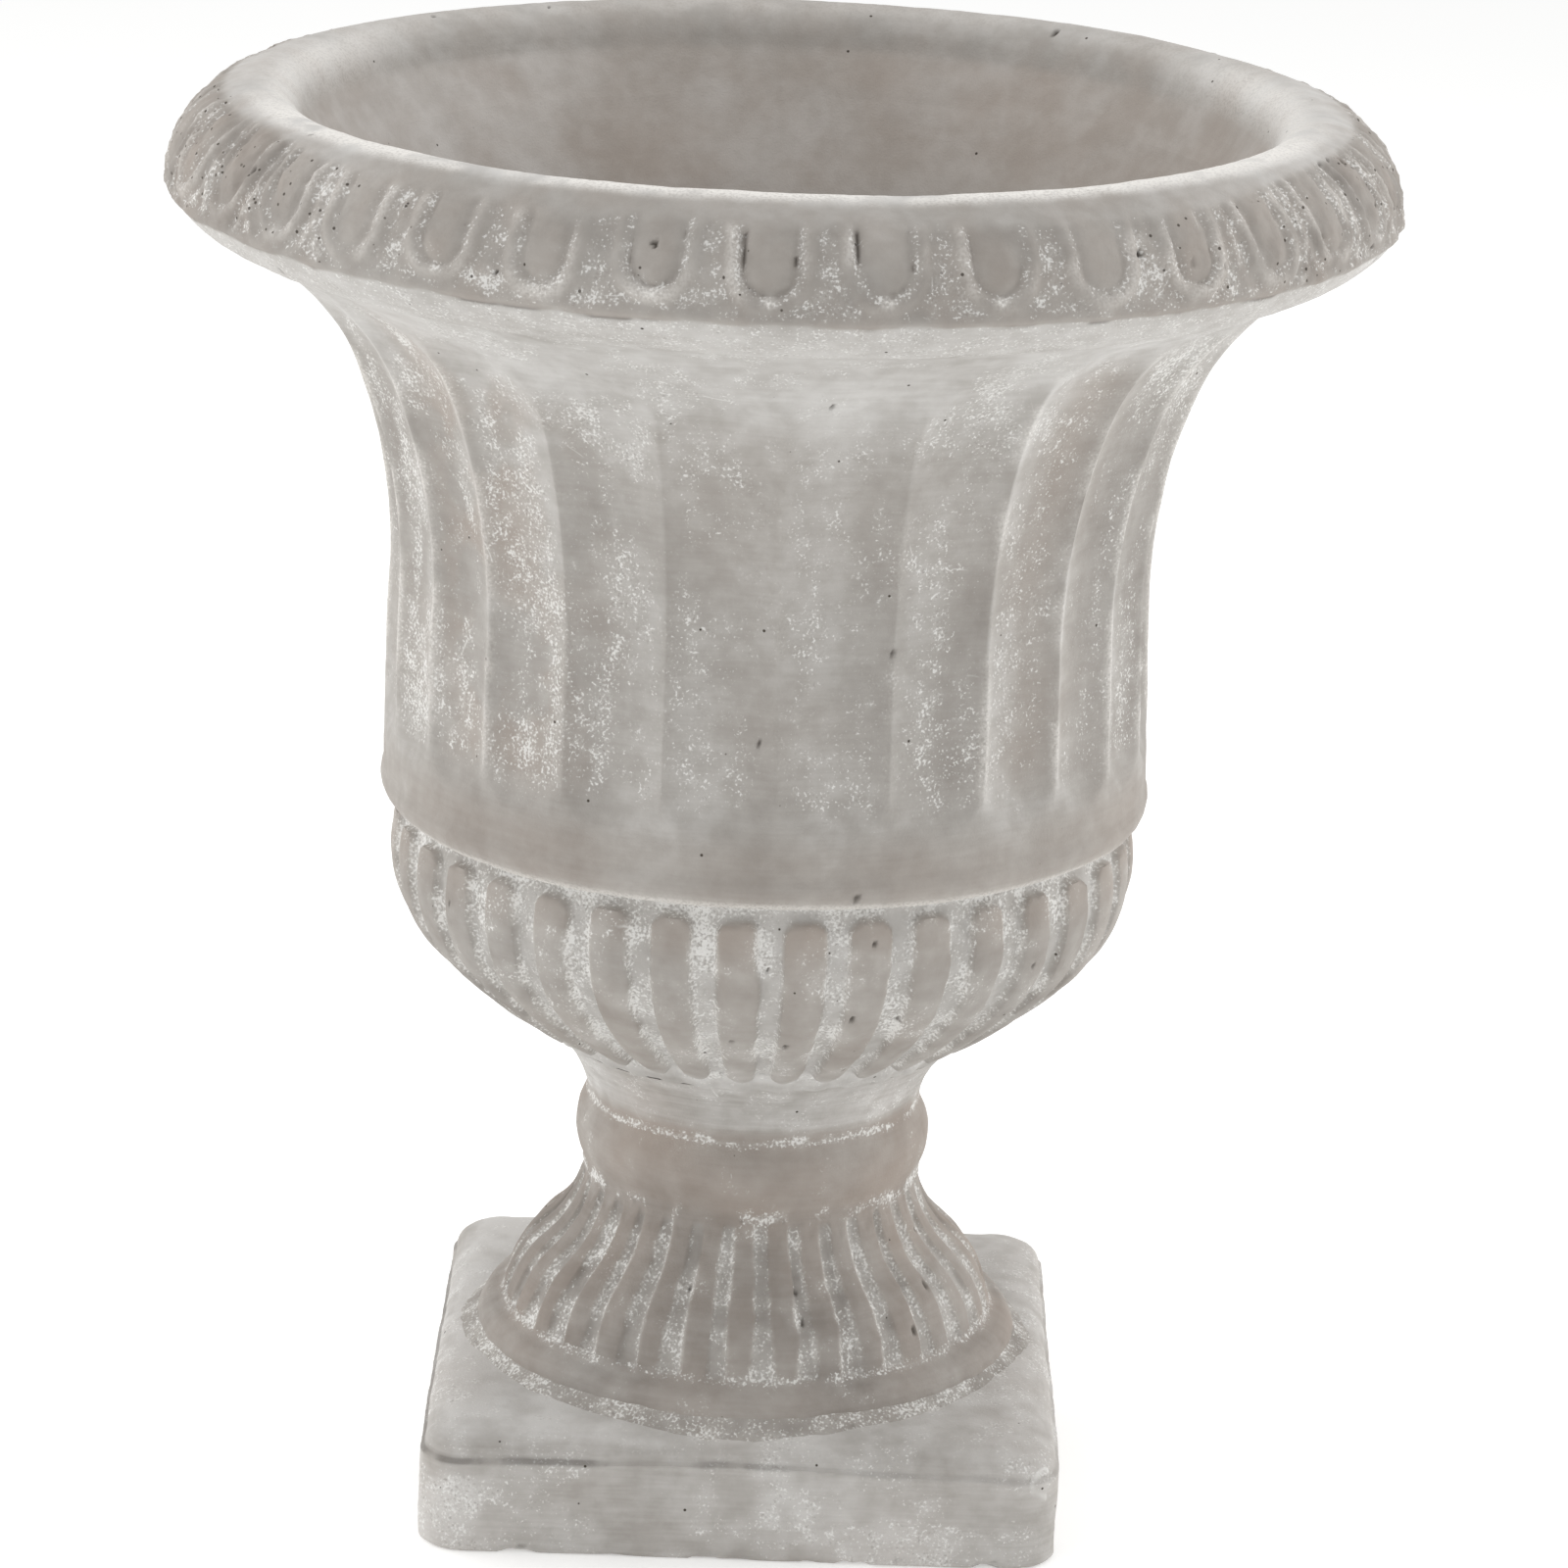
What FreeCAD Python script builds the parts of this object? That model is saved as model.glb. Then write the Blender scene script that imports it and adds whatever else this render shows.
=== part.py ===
import FreeCAD, Part
import math
import os

# A footed garden urn in fibre cement: a square plinth, a fluted foot, and a bowl with a gadrooned
# underside, a fluted drum and a rolled rim. The three castings are bedded in mortar and drawn
# together by a hollow threaded tube, which is also the drain; a rubber plug closes it.
# Millimetres, +Z up, origin in the middle of the plinth's underside, front towards -Y.

# Plinth
PLINTH_SIDE = 143.4
PLINTH_HEIGHT = 28.5
PLINTH_CORNER_R = 10.0
PLINTH_SHOULDER_HEIGHT = 6.0
PLINTH_SHOULDER_R = 5.0
PLINTH_CREASE = 0.8
PLINTH_FOOT_CHAMFER = 1.0

# Foot, from its base upwards
FOOT_BASE_R = 59.5
TORUS_BULGE = 1.8
TORUS_TOP_INSET = 2.7
TORUS_HEIGHT = 8.4
TRUMPET_STEP = 0.6
TRUMPET_BASE_LEAN = -8.0
TRUMPET_WAIST_SHARE = 0.5193
TRUMPET_WAIST_RISE = 14.1
TRUMPET_HEIGHT = 32.1
NECK_R = 38.1
BEAD_R = 40.8
BEAD_HEIGHT = 16.5
COVE_HEIGHT = 16.5
COVE_SAG = 1.8
FOOT_TOP_R = 47.5

# Mortar beds, kept clear of the bore: the lower one spreads in a skirt round the foot, the upper is raked back
BED_THICKNESS = 1.5
BED_RAKE = 1.0
BED_BORE_MARGIN = 4.0
BED_SPREAD = 6.0

# Bowl, from its base upwards: calyx, seam, drum, flare, rim; most of its arcs are drawn in straight spans
CURVE_SPANS = 4
CALYX_BASE_R = 48.5
CALYX_BASE_LEAN = 62.0
CALYX_HAUNCH_R = 75.5
CALYX_HAUNCH_RISE = 20.5
SEAM_R = 82.0
CALYX_HEIGHT = 52.5
DRUM_LIP_R = 86.5
DRUM_LIP_HEIGHT = 7.5
DRUM_LIP_SLOPE = 2.0
DRUM_R = 85.3
DRUM_HEIGHT = 47.0
FLARE_GENTLE_R = 125.0
FLARE_GENTLE_TURN = 23.6
FLARE_TIGHT_R = 50.0
FLARE_TIGHT_TURN = 42.4
RIM_R = 136.2
RIM_BELLY_RISE = 10.8
RIM_SHOULDER_INSET = 5.0
RIM_SHOULDER_RISE = 14.0
RIM_CREST_INSET = 17.2
RIM_HEIGHT = 32.3
LIP_INSET = 29.2
LIP_DROP = 7.8
WALL = 18.0
THROAT_FLARE = 15.4
THROAT_RISE = 64.0
THROAT_FOOT_RISE = 12.0
FLOOR_THICKNESS = 29.0
FLOOR_WALL_RISE = 18.0
FLOOR_BEND_INSET = 14.0
FLOOR_BEND_RISE = 4.0
FLOOR_INSET = 28.0

# Ornament: count, angle of the first one from the front towards +X, width and depth
DRUM_FLUTES = 24
DRUM_FLUTE_START = 9.0
DRUM_FLUTE_WIDTH = 19.6
DRUM_FLUTE_DEPTH = 2.0
DRUM_FLUTE_SIDE_SLOPE = 2.2
DRUM_FLUTE_FOOT_GAP = 7.0
DRUM_FLUTE_TOP_MARGIN = 1.6
CALYX_GROOVES = 36
CALYX_GROOVE_START = 2.0
CALYX_GROOVE_WIDTH = 6.0
CALYX_GROOVE_DEPTH = 1.5
CALYX_GROOVE_MARGIN = 3.0
FOOT_GROOVES = 33
FOOT_GROOVE_START = 4.5
FOOT_GROOVE_WIDTH = 3.8
FOOT_GROOVE_DEPTH = 1.0
FOOT_GROOVE_MARGIN = 2.5
GROOVE_SIDE_SLOPE = 1.0
CUTTER_PROUD = 1.0

# Tie tube and its hardware
TUBE_R = 10.5
TUBE_BORE_R = 7.5
TUBE_PROUD = 1.5
TUBE_CHAMFER = 0.8
BORE_CLEARANCE = 1.0
THREAD_CLEARANCE = 0.15
WASHER_CLEARANCE = 0.3
WASHER_R = 20.0
WASHER_THICKNESS = 2.5
SEAL_R = 19.0
SEAL_THICKNESS = 3.0
NUT_FLATS = 30.0
NUT_THICKNESS = 8.0
NUT_CHAMFER = 1.2
POCKET_CLEARANCE = 3.0
RECESS_HEADROOM = 3.0

# Drain plug
PLUG_CLEARANCE = 0.3
PLUG_STEM_LENGTH = 12.0
PLUG_STEM_TAPER = 0.8
PLUG_FLANGE_R = 12.0
PLUG_FLANGE_THICKNESS = 3.0
PLUG_EYE_R = 6.5
PLUG_EYE_HOLE_R = 3.5
PLUG_EYE_THICKNESS = 4.0

# Radii and levels that follow from the sizes above
TORUS_TOP_R = FOOT_BASE_R - TORUS_TOP_INSET
TRUMPET_BASE_R = TORUS_TOP_R - TRUMPET_STEP
TRUMPET_WAIST_R = NECK_R + (TRUMPET_BASE_R - NECK_R) * TRUMPET_WAIST_SHARE
FOOT_HEIGHT = TORUS_HEIGHT + TRUMPET_HEIGHT + BEAD_HEIGHT + COVE_HEIGHT
FOOT_BASE_Z = PLINTH_HEIGHT + BED_THICKNESS
FOOT_TOP_Z = FOOT_BASE_Z + FOOT_HEIGHT
BOWL_BASE_Z = FOOT_TOP_Z + BED_THICKNESS
SEAM_Z = BOWL_BASE_Z + CALYX_HEIGHT
DRUM_LIP_Z = SEAM_Z + DRUM_LIP_HEIGHT
FLARE_Z = DRUM_LIP_Z + DRUM_HEIGHT
FLOOR_Z = BOWL_BASE_Z + FLOOR_THICKNESS
BORE_R = TUBE_R + BORE_CLEARANCE
POCKET_R = WASHER_R + POCKET_CLEARANCE
POCKET_Z = FLOOR_Z - SEAL_THICKNESS - WASHER_THICKNESS - NUT_THICKNESS - TUBE_PROUD
RECESS_DEPTH = RECESS_HEADROOM + TUBE_PROUD + NUT_THICKNESS + WASHER_THICKNESS

AXIS_POINT = FreeCAD.Vector(0, 0, 0)
AXIS = FreeCAD.Vector(0, 0, 1)
ACROSS = FreeCAD.Vector(0, 1, 0)
FRONT_ANGLE = -90.0


def at(radius, height):
    """Point of the half section at this radius and height."""
    return FreeCAD.Vector(radius, 0, height)


def bend_step(heading, arc_radius, turn):
    """Displacement along an arc that turns outwards; headings are degrees from +Z."""
    first = math.radians(heading)
    last = math.radians(heading + turn)
    return arc_radius * at(math.cos(first) - math.cos(last), math.sin(last) - math.sin(first))


class Outline:
    """A chain of lines and arcs in the half section, drawn as by a pen with a heading."""

    def __init__(self, start, heading=0.0):
        self.start = start
        self.start_heading = heading
        self.end = start
        self.heading = heading
        self.edges = []
        self.moves = []

    def draw(self, curve, end, turn=0.0):
        """Add a curve, and note how it carries a cutter's section: a shift, or a turn about a centre."""
        edge = curve.toShape()
        self.edges.append(edge)
        self.moves.append((edge.Curve.Center, turn) if turn else (None, end - self.end))
        self.end = end

    def line_to(self, end):
        self.draw(Part.LineSegment(self.end, end), end)

    def bend(self, arc_radius, turn):
        """Arc outwards from the present heading."""
        middle = self.end + bend_step(self.heading, arc_radius, turn / 2)
        end = self.end + bend_step(self.heading, arc_radius, turn)
        self.draw(Part.Arc(self.end, middle, end), end, turn)
        self.heading += turn

    def curve_to(self, end):
        """Arc that leaves along the present heading and reaches the end point."""
        chord = end - self.end
        chord_heading = math.degrees(math.atan2(chord.x, chord.z))
        swing = math.radians(self.heading - chord_heading)
        side = FreeCAD.Vector(chord.z, 0, -chord.x)
        middle = self.end + chord * 0.5 + side * (0.5 * math.tan(swing / 2))
        turn = 2 * (chord_heading - self.heading)
        self.draw(Part.Arc(self.end, middle, end), end, turn)
        self.heading += turn

    def facet_to(self, end, spans):
        """Straight spans whose corners lie on the arc that curve_to draws."""
        start = self.end
        chord = end - start
        turn = 2 * (math.degrees(math.atan2(chord.x, chord.z)) - self.heading)
        arc_radius = chord.Length / (2 * math.sin(math.radians(turn / 2)))
        for index in range(1, spans):
            self.line_to(start + bend_step(self.heading, arc_radius, turn * index / spans))
        self.line_to(end)
        self.heading += turn

    def bow_to(self, end, sag):
        """Arc to the end point that bulges outwards by the sag, or inwards if it is negative."""
        chord = end - self.end
        side = FreeCAD.Vector(chord.z, 0, -chord.x)
        middle = self.end + chord * 0.5 + side * (sag / side.Length)
        self.draw(Part.Arc(self.end, middle, end), end)

    def wire(self):
        return Part.Wire(self.edges)

    def revolved(self):
        """Solid of revolution of the closed outline."""
        return Part.Face(self.wire()).revolve(AXIS_POINT, AXIS, 360)


def ring(inner_r, outer_r, base_z, thickness):
    """Flat ring about the axis."""
    hole = Part.makeCylinder(inner_r, thickness, at(0, base_z))
    return Part.makeCylinder(outer_r, thickness, at(0, base_z)).cut(hole)


def turned_copies(shape, first_angle, pitch, number):
    """Copies of a shape round the axis, the first at an angle from the front."""
    copies = []
    for index in range(number):
        copies.append(shape.rotated(AXIS_POINT, AXIS, FRONT_ANGLE + first_angle + index * pitch))
    return copies


def holds_axis(face):
    """Whether a face is flat and lies in a plane through the axis."""
    if not isinstance(face.Surface, Part.Plane):
        return False
    normal = face.Surface.Axis
    return abs(normal.z) < 1e-6 and abs(face.Surface.Position.dot(normal)) < 1e-6


def sectored_body(outline, first_angle, sectors, cutters):
    """Turned body: one sector is cut, its skin is repeated round the axis and closed to a solid."""
    pitch = 360.0 / sectors
    wedge = Part.Face(outline.wire()).revolve(AXIS_POINT, AXIS, pitch)
    wedge = wedge.rotated(AXIS_POINT, AXIS, FRONT_ANGLE + first_angle).cut(cutters)
    skin = Part.makeCompound([face for face in wedge.Faces if not holds_axis(face)])
    whole = Part.makeCompound(turned_copies(skin, -FRONT_ANGLE, pitch, sectors))
    whole.sewShape()
    return Part.Solid(whole.Shells[0])


def outward_from(heading):
    """Direction square to a heading, away from the surface that is followed."""
    return at(math.cos(math.radians(heading)), -math.sin(math.radians(heading)))


def swept(section, path):
    """Solid that a section sweeps as it is carried along each line and arc of a path."""
    spans = []
    for centre, move in path.moves:
        if centre is None:
            spans.append(section.extrude(move))
            section = section.translated(move)
        else:
            spans.append(section.revolve(centre, ACROSS, move))
            section = section.rotated(centre, ACROSS, move)
    return spans[0].fuse(spans[1:])


def channel_cutter(path, width, depth, side_slope):
    """Flat-bottomed channel with sloping sides along a path."""
    outward = outward_from(path.start_heading)
    top = path.start + outward * CUTTER_PROUD
    floor = path.start - outward * depth
    top_half = width / 2 + CUTTER_PROUD * side_slope
    floor_half = width / 2 - depth * side_slope
    corners = [top - ACROSS * top_half, floor - ACROSS * floor_half, floor + ACROSS * floor_half,
               top + ACROSS * top_half, top - ACROSS * top_half]
    return swept(Part.Face(Part.makePolygon(corners)), path)


def make_plinth():
    """Rounded square slab with a creased shoulder, a bore and a recess under it for the nut."""
    def slab(side, base_z, height, corner_r):
        corner = FreeCAD.Vector(-side / 2, -side / 2, base_z)
        box = Part.makeBox(side, side, height, corner)
        upright = [edge for edge in box.Edges if abs(edge.tangentAt(edge.FirstParameter).z) > 0.5]
        return box.makeFillet(corner_r, upright)

    def edges_at(shape, level):
        return [edge for edge in shape.Edges if abs(edge.BoundBox.ZMin - level) < 1e-6
                and abs(edge.BoundBox.ZMax - level) < 1e-6]

    face_height = PLINTH_HEIGHT - PLINTH_SHOULDER_HEIGHT
    base = slab(PLINTH_SIDE, 0, face_height, PLINTH_CORNER_R)
    base = base.makeChamfer(PLINTH_FOOT_CHAMFER, edges_at(base, 0))
    upper_side = PLINTH_SIDE - 2 * PLINTH_CREASE
    upper = slab(upper_side, face_height, PLINTH_SHOULDER_HEIGHT, PLINTH_CORNER_R - PLINTH_CREASE)
    upper = upper.makeFillet(PLINTH_SHOULDER_R, edges_at(upper, PLINTH_HEIGHT))
    bore = Part.makeCylinder(BORE_R, PLINTH_HEIGHT)
    recess = Part.makeCylinder(POCKET_R, RECESS_DEPTH)
    return base.fuse(upper).cut([bore, recess])


def trumpet_start():
    return at(TRUMPET_BASE_R, FOOT_BASE_Z + TORUS_HEIGHT)


def draw_trumpet(outline, waist_z, top_z):
    """Double curve of the fluted foot, convex below its waist and hollow above it."""
    outline.heading = TRUMPET_BASE_LEAN
    outline.curve_to(at(TRUMPET_WAIST_R, waist_z))
    outline.curve_to(at(NECK_R, top_z))


def make_foot():
    """Turned foot: round base moulding, fluted trumpet, bead and cove, bored for the tube."""
    torus_top = FOOT_BASE_Z + TORUS_HEIGHT
    waist_z = torus_top + TRUMPET_WAIST_RISE
    trumpet_top = torus_top + TRUMPET_HEIGHT
    bead_top = trumpet_top + BEAD_HEIGHT
    outline = Outline(at(BORE_R, FOOT_BASE_Z))
    outline.line_to(at(FOOT_BASE_R, FOOT_BASE_Z))
    outline.bow_to(at(TORUS_TOP_R, torus_top), TORUS_BULGE + TORUS_TOP_INSET / 2)
    outline.line_to(trumpet_start())
    draw_trumpet(outline, waist_z, trumpet_top)
    outline.bow_to(at(NECK_R, bead_top), BEAD_R - NECK_R)
    outline.bow_to(at(FOOT_TOP_R, FOOT_TOP_Z), -COVE_SAG)
    outline.line_to(at(BORE_R, FOOT_TOP_Z))
    outline.line_to(at(BORE_R, FOOT_BASE_Z))
    path = Outline(trumpet_start(), TRUMPET_BASE_LEAN)
    draw_trumpet(path, waist_z, trumpet_top - FOOT_GROOVE_MARGIN)
    cutter = channel_cutter(path, FOOT_GROOVE_WIDTH, FOOT_GROOVE_DEPTH, GROOVE_SIDE_SLOPE)
    pitch = 360.0 / FOOT_GROOVES
    cutters = turned_copies(cutter, FOOT_GROOVE_START, pitch, 1)
    return sectored_body(outline, FOOT_GROOVE_START - pitch / 2, FOOT_GROOVES, cutters)


def bowl_outline():
    """Half section of the bowl: outside, rolled rim, inside, floor pocket and bore."""
    inner_r = DRUM_R - WALL
    outline = Outline(at(BORE_R, BOWL_BASE_Z))
    outline.line_to(at(CALYX_BASE_R, BOWL_BASE_Z))
    outline.heading = CALYX_BASE_LEAN
    outline.facet_to(at(CALYX_HAUNCH_R, BOWL_BASE_Z + CALYX_HAUNCH_RISE), CURVE_SPANS)
    outline.facet_to(at(SEAM_R, SEAM_Z), CURVE_SPANS)
    outline.line_to(at(DRUM_LIP_R, SEAM_Z + DRUM_LIP_SLOPE))
    outline.line_to(at(DRUM_LIP_R, DRUM_LIP_Z))
    outline.line_to(at(DRUM_R, FLARE_Z))
    outline.heading = 0.0
    outline.bend(FLARE_GENTLE_R, FLARE_GENTLE_TURN)
    outline.facet_to(outline.end + bend_step(outline.heading, FLARE_TIGHT_R, FLARE_TIGHT_TURN), CURVE_SPANS)
    belly_z = outline.end.z + RIM_BELLY_RISE
    crest_z = outline.end.z + RIM_HEIGHT
    outline.line_to(at(RIM_R, belly_z))
    outline.heading = 0.0
    outline.facet_to(at(RIM_R - RIM_SHOULDER_INSET, belly_z + RIM_SHOULDER_RISE), CURVE_SPANS)
    outline.facet_to(at(RIM_R - RIM_CREST_INSET, crest_z), CURVE_SPANS)
    outline.line_to(at(RIM_R - LIP_INSET, crest_z - LIP_DROP))
    outline.line_to(at(inner_r + THROAT_FLARE, FLARE_Z + THROAT_RISE))
    outline.line_to(at(inner_r, FLARE_Z + THROAT_FOOT_RISE))
    outline.line_to(at(inner_r, FLOOR_Z + FLOOR_WALL_RISE))
    outline.line_to(at(inner_r - FLOOR_BEND_INSET, FLOOR_Z + FLOOR_BEND_RISE))
    outline.line_to(at(inner_r - FLOOR_INSET, FLOOR_Z))
    outline.line_to(at(POCKET_R, FLOOR_Z))
    outline.line_to(at(POCKET_R, POCKET_Z))
    outline.line_to(at(BORE_R, POCKET_Z))
    outline.line_to(at(BORE_R, BOWL_BASE_Z))
    return outline


def drum_flute():
    """Wide shallow flute that rises from the drum's lip and ends in the flare."""
    foot_r = DRUM_LIP_R + (DRUM_R - DRUM_LIP_R) * DRUM_FLUTE_FOOT_GAP / DRUM_HEIGHT
    path = Outline(at(foot_r, DRUM_LIP_Z + DRUM_FLUTE_FOOT_GAP))
    path.line_to(at(DRUM_R, FLARE_Z))
    path.bend(FLARE_GENTLE_R, FLARE_GENTLE_TURN - DRUM_FLUTE_TOP_MARGIN)
    return channel_cutter(path, DRUM_FLUTE_WIDTH, DRUM_FLUTE_DEPTH, DRUM_FLUTE_SIDE_SLOPE)


def calyx_groove():
    """Channel between two tongues of the calyx."""
    path = Outline(at(CALYX_BASE_R, BOWL_BASE_Z), CALYX_BASE_LEAN)
    path.curve_to(at(CALYX_HAUNCH_R, BOWL_BASE_Z + CALYX_HAUNCH_RISE))
    path.curve_to(at(SEAM_R, SEAM_Z - CALYX_GROOVE_MARGIN))
    return channel_cutter(path, CALYX_GROOVE_WIDTH, CALYX_GROOVE_DEPTH, GROOVE_SIDE_SLOPE)


def make_bowl():
    """Bowl with its drum flutes and calyx grooves cut, in sectors that part between two flutes."""
    sectors = math.gcd(DRUM_FLUTES, CALYX_GROOVES)
    flute_pitch = 360.0 / DRUM_FLUTES
    groove_pitch = 360.0 / CALYX_GROOVES
    first_angle = DRUM_FLUTE_START + flute_pitch / 2
    first_groove = math.ceil((first_angle - CALYX_GROOVE_START) / groove_pitch)
    groove_angle = CALYX_GROOVE_START + first_groove * groove_pitch
    cutters = turned_copies(drum_flute(), DRUM_FLUTE_START + flute_pitch, flute_pitch, DRUM_FLUTES // sectors)
    cutters += turned_copies(calyx_groove(), groove_angle, groove_pitch, CALYX_GROOVES // sectors)
    return sectored_body(bowl_outline(), first_angle, sectors, cutters)


def make_bed(base_z, base_r, top_r):
    """Mortar bed with sloping edges, wider or narrower at its base than at its top."""
    outline = Outline(at(BORE_R + BED_BORE_MARGIN, base_z))
    outline.line_to(at(base_r, base_z))
    outline.line_to(at(top_r, base_z + BED_THICKNESS))
    outline.line_to(at(BORE_R + BED_BORE_MARGIN, base_z + BED_THICKNESS))
    outline.line_to(at(BORE_R + BED_BORE_MARGIN, base_z))
    return outline.revolved()


def make_tube(base_z, top_z):
    """Hollow tie tube with chamfered ends."""
    outline = Outline(at(TUBE_BORE_R, base_z))
    outline.line_to(at(TUBE_R - TUBE_CHAMFER, base_z))
    outline.line_to(at(TUBE_R, base_z + TUBE_CHAMFER))
    outline.line_to(at(TUBE_R, top_z - TUBE_CHAMFER))
    outline.line_to(at(TUBE_R - TUBE_CHAMFER, top_z))
    outline.line_to(at(TUBE_BORE_R, top_z))
    outline.line_to(at(TUBE_BORE_R, base_z))
    return outline.revolved()


def make_nut(base_z):
    """Hexagonal lock nut with its corners chamfered on both faces."""
    corner_r = NUT_FLATS / 2 / math.cos(math.radians(30))
    top_z = base_z + NUT_THICKNESS
    corners = []
    for index in range(7):
        angle = math.radians(60 * index)
        corners.append(FreeCAD.Vector(corner_r * math.cos(angle), corner_r * math.sin(angle), base_z))
    prism = Part.Face(Part.makePolygon(corners)).extrude(AXIS * NUT_THICKNESS)
    limit = Outline(at(TUBE_R + THREAD_CLEARANCE, base_z))
    limit.line_to(at(corner_r - NUT_CHAMFER, base_z))
    limit.line_to(at(corner_r, base_z + NUT_CHAMFER / 2))
    limit.line_to(at(corner_r, top_z - NUT_CHAMFER / 2))
    limit.line_to(at(corner_r - NUT_CHAMFER, top_z))
    limit.line_to(at(TUBE_R + THREAD_CLEARANCE, top_z))
    limit.line_to(at(TUBE_R + THREAD_CLEARANCE, base_z))
    return prism.common(limit.revolved())


def make_plug(seat_z):
    """Rubber plug: tapered stem in the tube, flange on its end and an eye to pull it by."""
    stem_r = TUBE_BORE_R - PLUG_CLEARANCE
    flange_top = seat_z + PLUG_FLANGE_THICKNESS
    eye_z = flange_top + PLUG_EYE_R - PLUG_FLANGE_THICKNESS / 2
    body = Outline(at(0, seat_z - PLUG_STEM_LENGTH))
    body.line_to(at(stem_r - PLUG_STEM_TAPER, seat_z - PLUG_STEM_LENGTH))
    body.line_to(at(stem_r, seat_z))
    body.line_to(at(PLUG_FLANGE_R, seat_z))
    body.line_to(at(PLUG_FLANGE_R, flange_top))
    body.line_to(at(0, flange_top))
    body.line_to(at(0, seat_z - PLUG_STEM_LENGTH))
    front = FreeCAD.Vector(0, -PLUG_EYE_THICKNESS / 2, eye_z)
    eye = Part.makeCylinder(PLUG_EYE_R, PLUG_EYE_THICKNESS, front, ACROSS)
    hole = Part.makeCylinder(PLUG_EYE_HOLE_R, PLUG_EYE_THICKNESS, front, ACROSS)
    return body.revolved().fuse(eye).cut(hole)


def make_pieces():
    """Every piece of the urn by name."""
    washer_bore = TUBE_R + WASHER_CLEARANCE
    top_washer_z = POCKET_Z + SEAL_THICKNESS
    bottom_washer_z = RECESS_DEPTH - WASHER_THICKNESS
    bottom_nut_z = bottom_washer_z - NUT_THICKNESS
    tube_top = top_washer_z + WASHER_THICKNESS + NUT_THICKNESS + TUBE_PROUD
    return {
        "plinth": make_plinth(),
        "foot_bed": make_bed(PLINTH_HEIGHT, FOOT_BASE_R + BED_SPREAD, FOOT_BASE_R),
        "foot": make_foot(),
        "bowl_bed": make_bed(FOOT_TOP_Z, FOOT_TOP_R - BED_RAKE, FOOT_TOP_R - BED_RAKE),
        "bowl": make_bowl(),
        "drain_tube": make_tube(bottom_nut_z - TUBE_PROUD, tube_top),
        "seal_washer": ring(washer_bore, SEAL_R, POCKET_Z, SEAL_THICKNESS),
        "top_washer": ring(washer_bore, WASHER_R, top_washer_z, WASHER_THICKNESS),
        "top_nut": make_nut(top_washer_z + WASHER_THICKNESS),
        "bottom_washer": ring(washer_bore, WASHER_R, bottom_washer_z, WASHER_THICKNESS),
        "bottom_nut": make_nut(bottom_nut_z),
        "drain_plug": make_plug(tube_top),
    }


os.makedirs("parts", exist_ok=True)
for name, shape in make_pieces().items():
    box = shape.BoundBox
    print(name, "valid", shape.isValid(), "solids", len(shape.Solids), "cm3", round(shape.Volume / 1000, 2),
          "z", round(box.ZMin, 2), round(box.ZMax, 2), "width", round(box.XLength, 2))
    shape.exportStep(os.path.join("parts", name + ".step"))
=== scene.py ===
"""Looks of a footed garden urn in cast fibre cement, laid over its packed construction model.

Section sizes are millimetres and meshes are metres. Angles are degrees from the front (-Y) towards +X.
"""

import logging
import math
from dataclasses import dataclass
from enum import Enum
from functools import partial

import bpy
import numpy as np
from mathutils import Matrix, Vector


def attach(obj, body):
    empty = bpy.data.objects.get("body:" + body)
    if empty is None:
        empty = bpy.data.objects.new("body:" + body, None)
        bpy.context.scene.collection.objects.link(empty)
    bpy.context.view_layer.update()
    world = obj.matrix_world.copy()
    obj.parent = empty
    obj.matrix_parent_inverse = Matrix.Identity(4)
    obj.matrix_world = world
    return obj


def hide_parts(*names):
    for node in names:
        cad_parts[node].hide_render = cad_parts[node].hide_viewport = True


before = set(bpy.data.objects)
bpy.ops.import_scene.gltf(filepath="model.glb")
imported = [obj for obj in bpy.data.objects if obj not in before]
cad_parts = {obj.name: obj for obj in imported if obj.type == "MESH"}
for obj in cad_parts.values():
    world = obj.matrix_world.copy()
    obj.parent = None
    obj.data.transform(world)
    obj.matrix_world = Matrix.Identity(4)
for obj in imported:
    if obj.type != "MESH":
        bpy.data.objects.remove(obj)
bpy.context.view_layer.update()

LOG = logging.getLogger("urn")
MM = 0.001
Array = np.ndarray
URN_BODY = "urn"
SHARP_ANGLE = math.radians(55.0)
HASH_STEPS = np.array([73856093, 19349663, 83492791])
HASH_SEED = 1013904223
HASH_ROUNDS = ((15, 739982445), (12, 695872825))
HASH_LAST_SHIFT = 15
WORD = 0xFFFFFFFF


class Slot(Enum):
    """Names of two material slots: fibre cement and mortar."""

    CEMENT = "fibre_cement"
    MORTAR = "mortar"


class Tint(Enum):
    """Painted weathering, painted light and painted shade, held in the mesh as one number per point."""

    TONE = "tone"
    WASH = "wash"
    WARM = "warm"
    WORN_AND_HIGHLIGHT = "worn"
    PITS_AND_SHADE = "pits"
    BRUSH = "brush"
    PORES = "pores"


def ease(low: float, high: float, value: Array) -> Array:
    """Smooth step from 0 at low to 1 at high: 3t² - 2t³ of the clipped fraction t.

    Args:
        low: Value at which the step starts.
        high: Value at which it ends.
        value: Numbers to be mapped.

    Returns:
        The eased numbers.
    """
    part = np.clip((value - low) / (high - low), 0.0, 1.0)
    return part * part * (3.0 - 2.0 * part)


def hump(distance: Array, width: float) -> Array:
    """Bell curve exp(-(distance / width)²)."""
    return np.exp(-((distance / width) ** 2))


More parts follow.
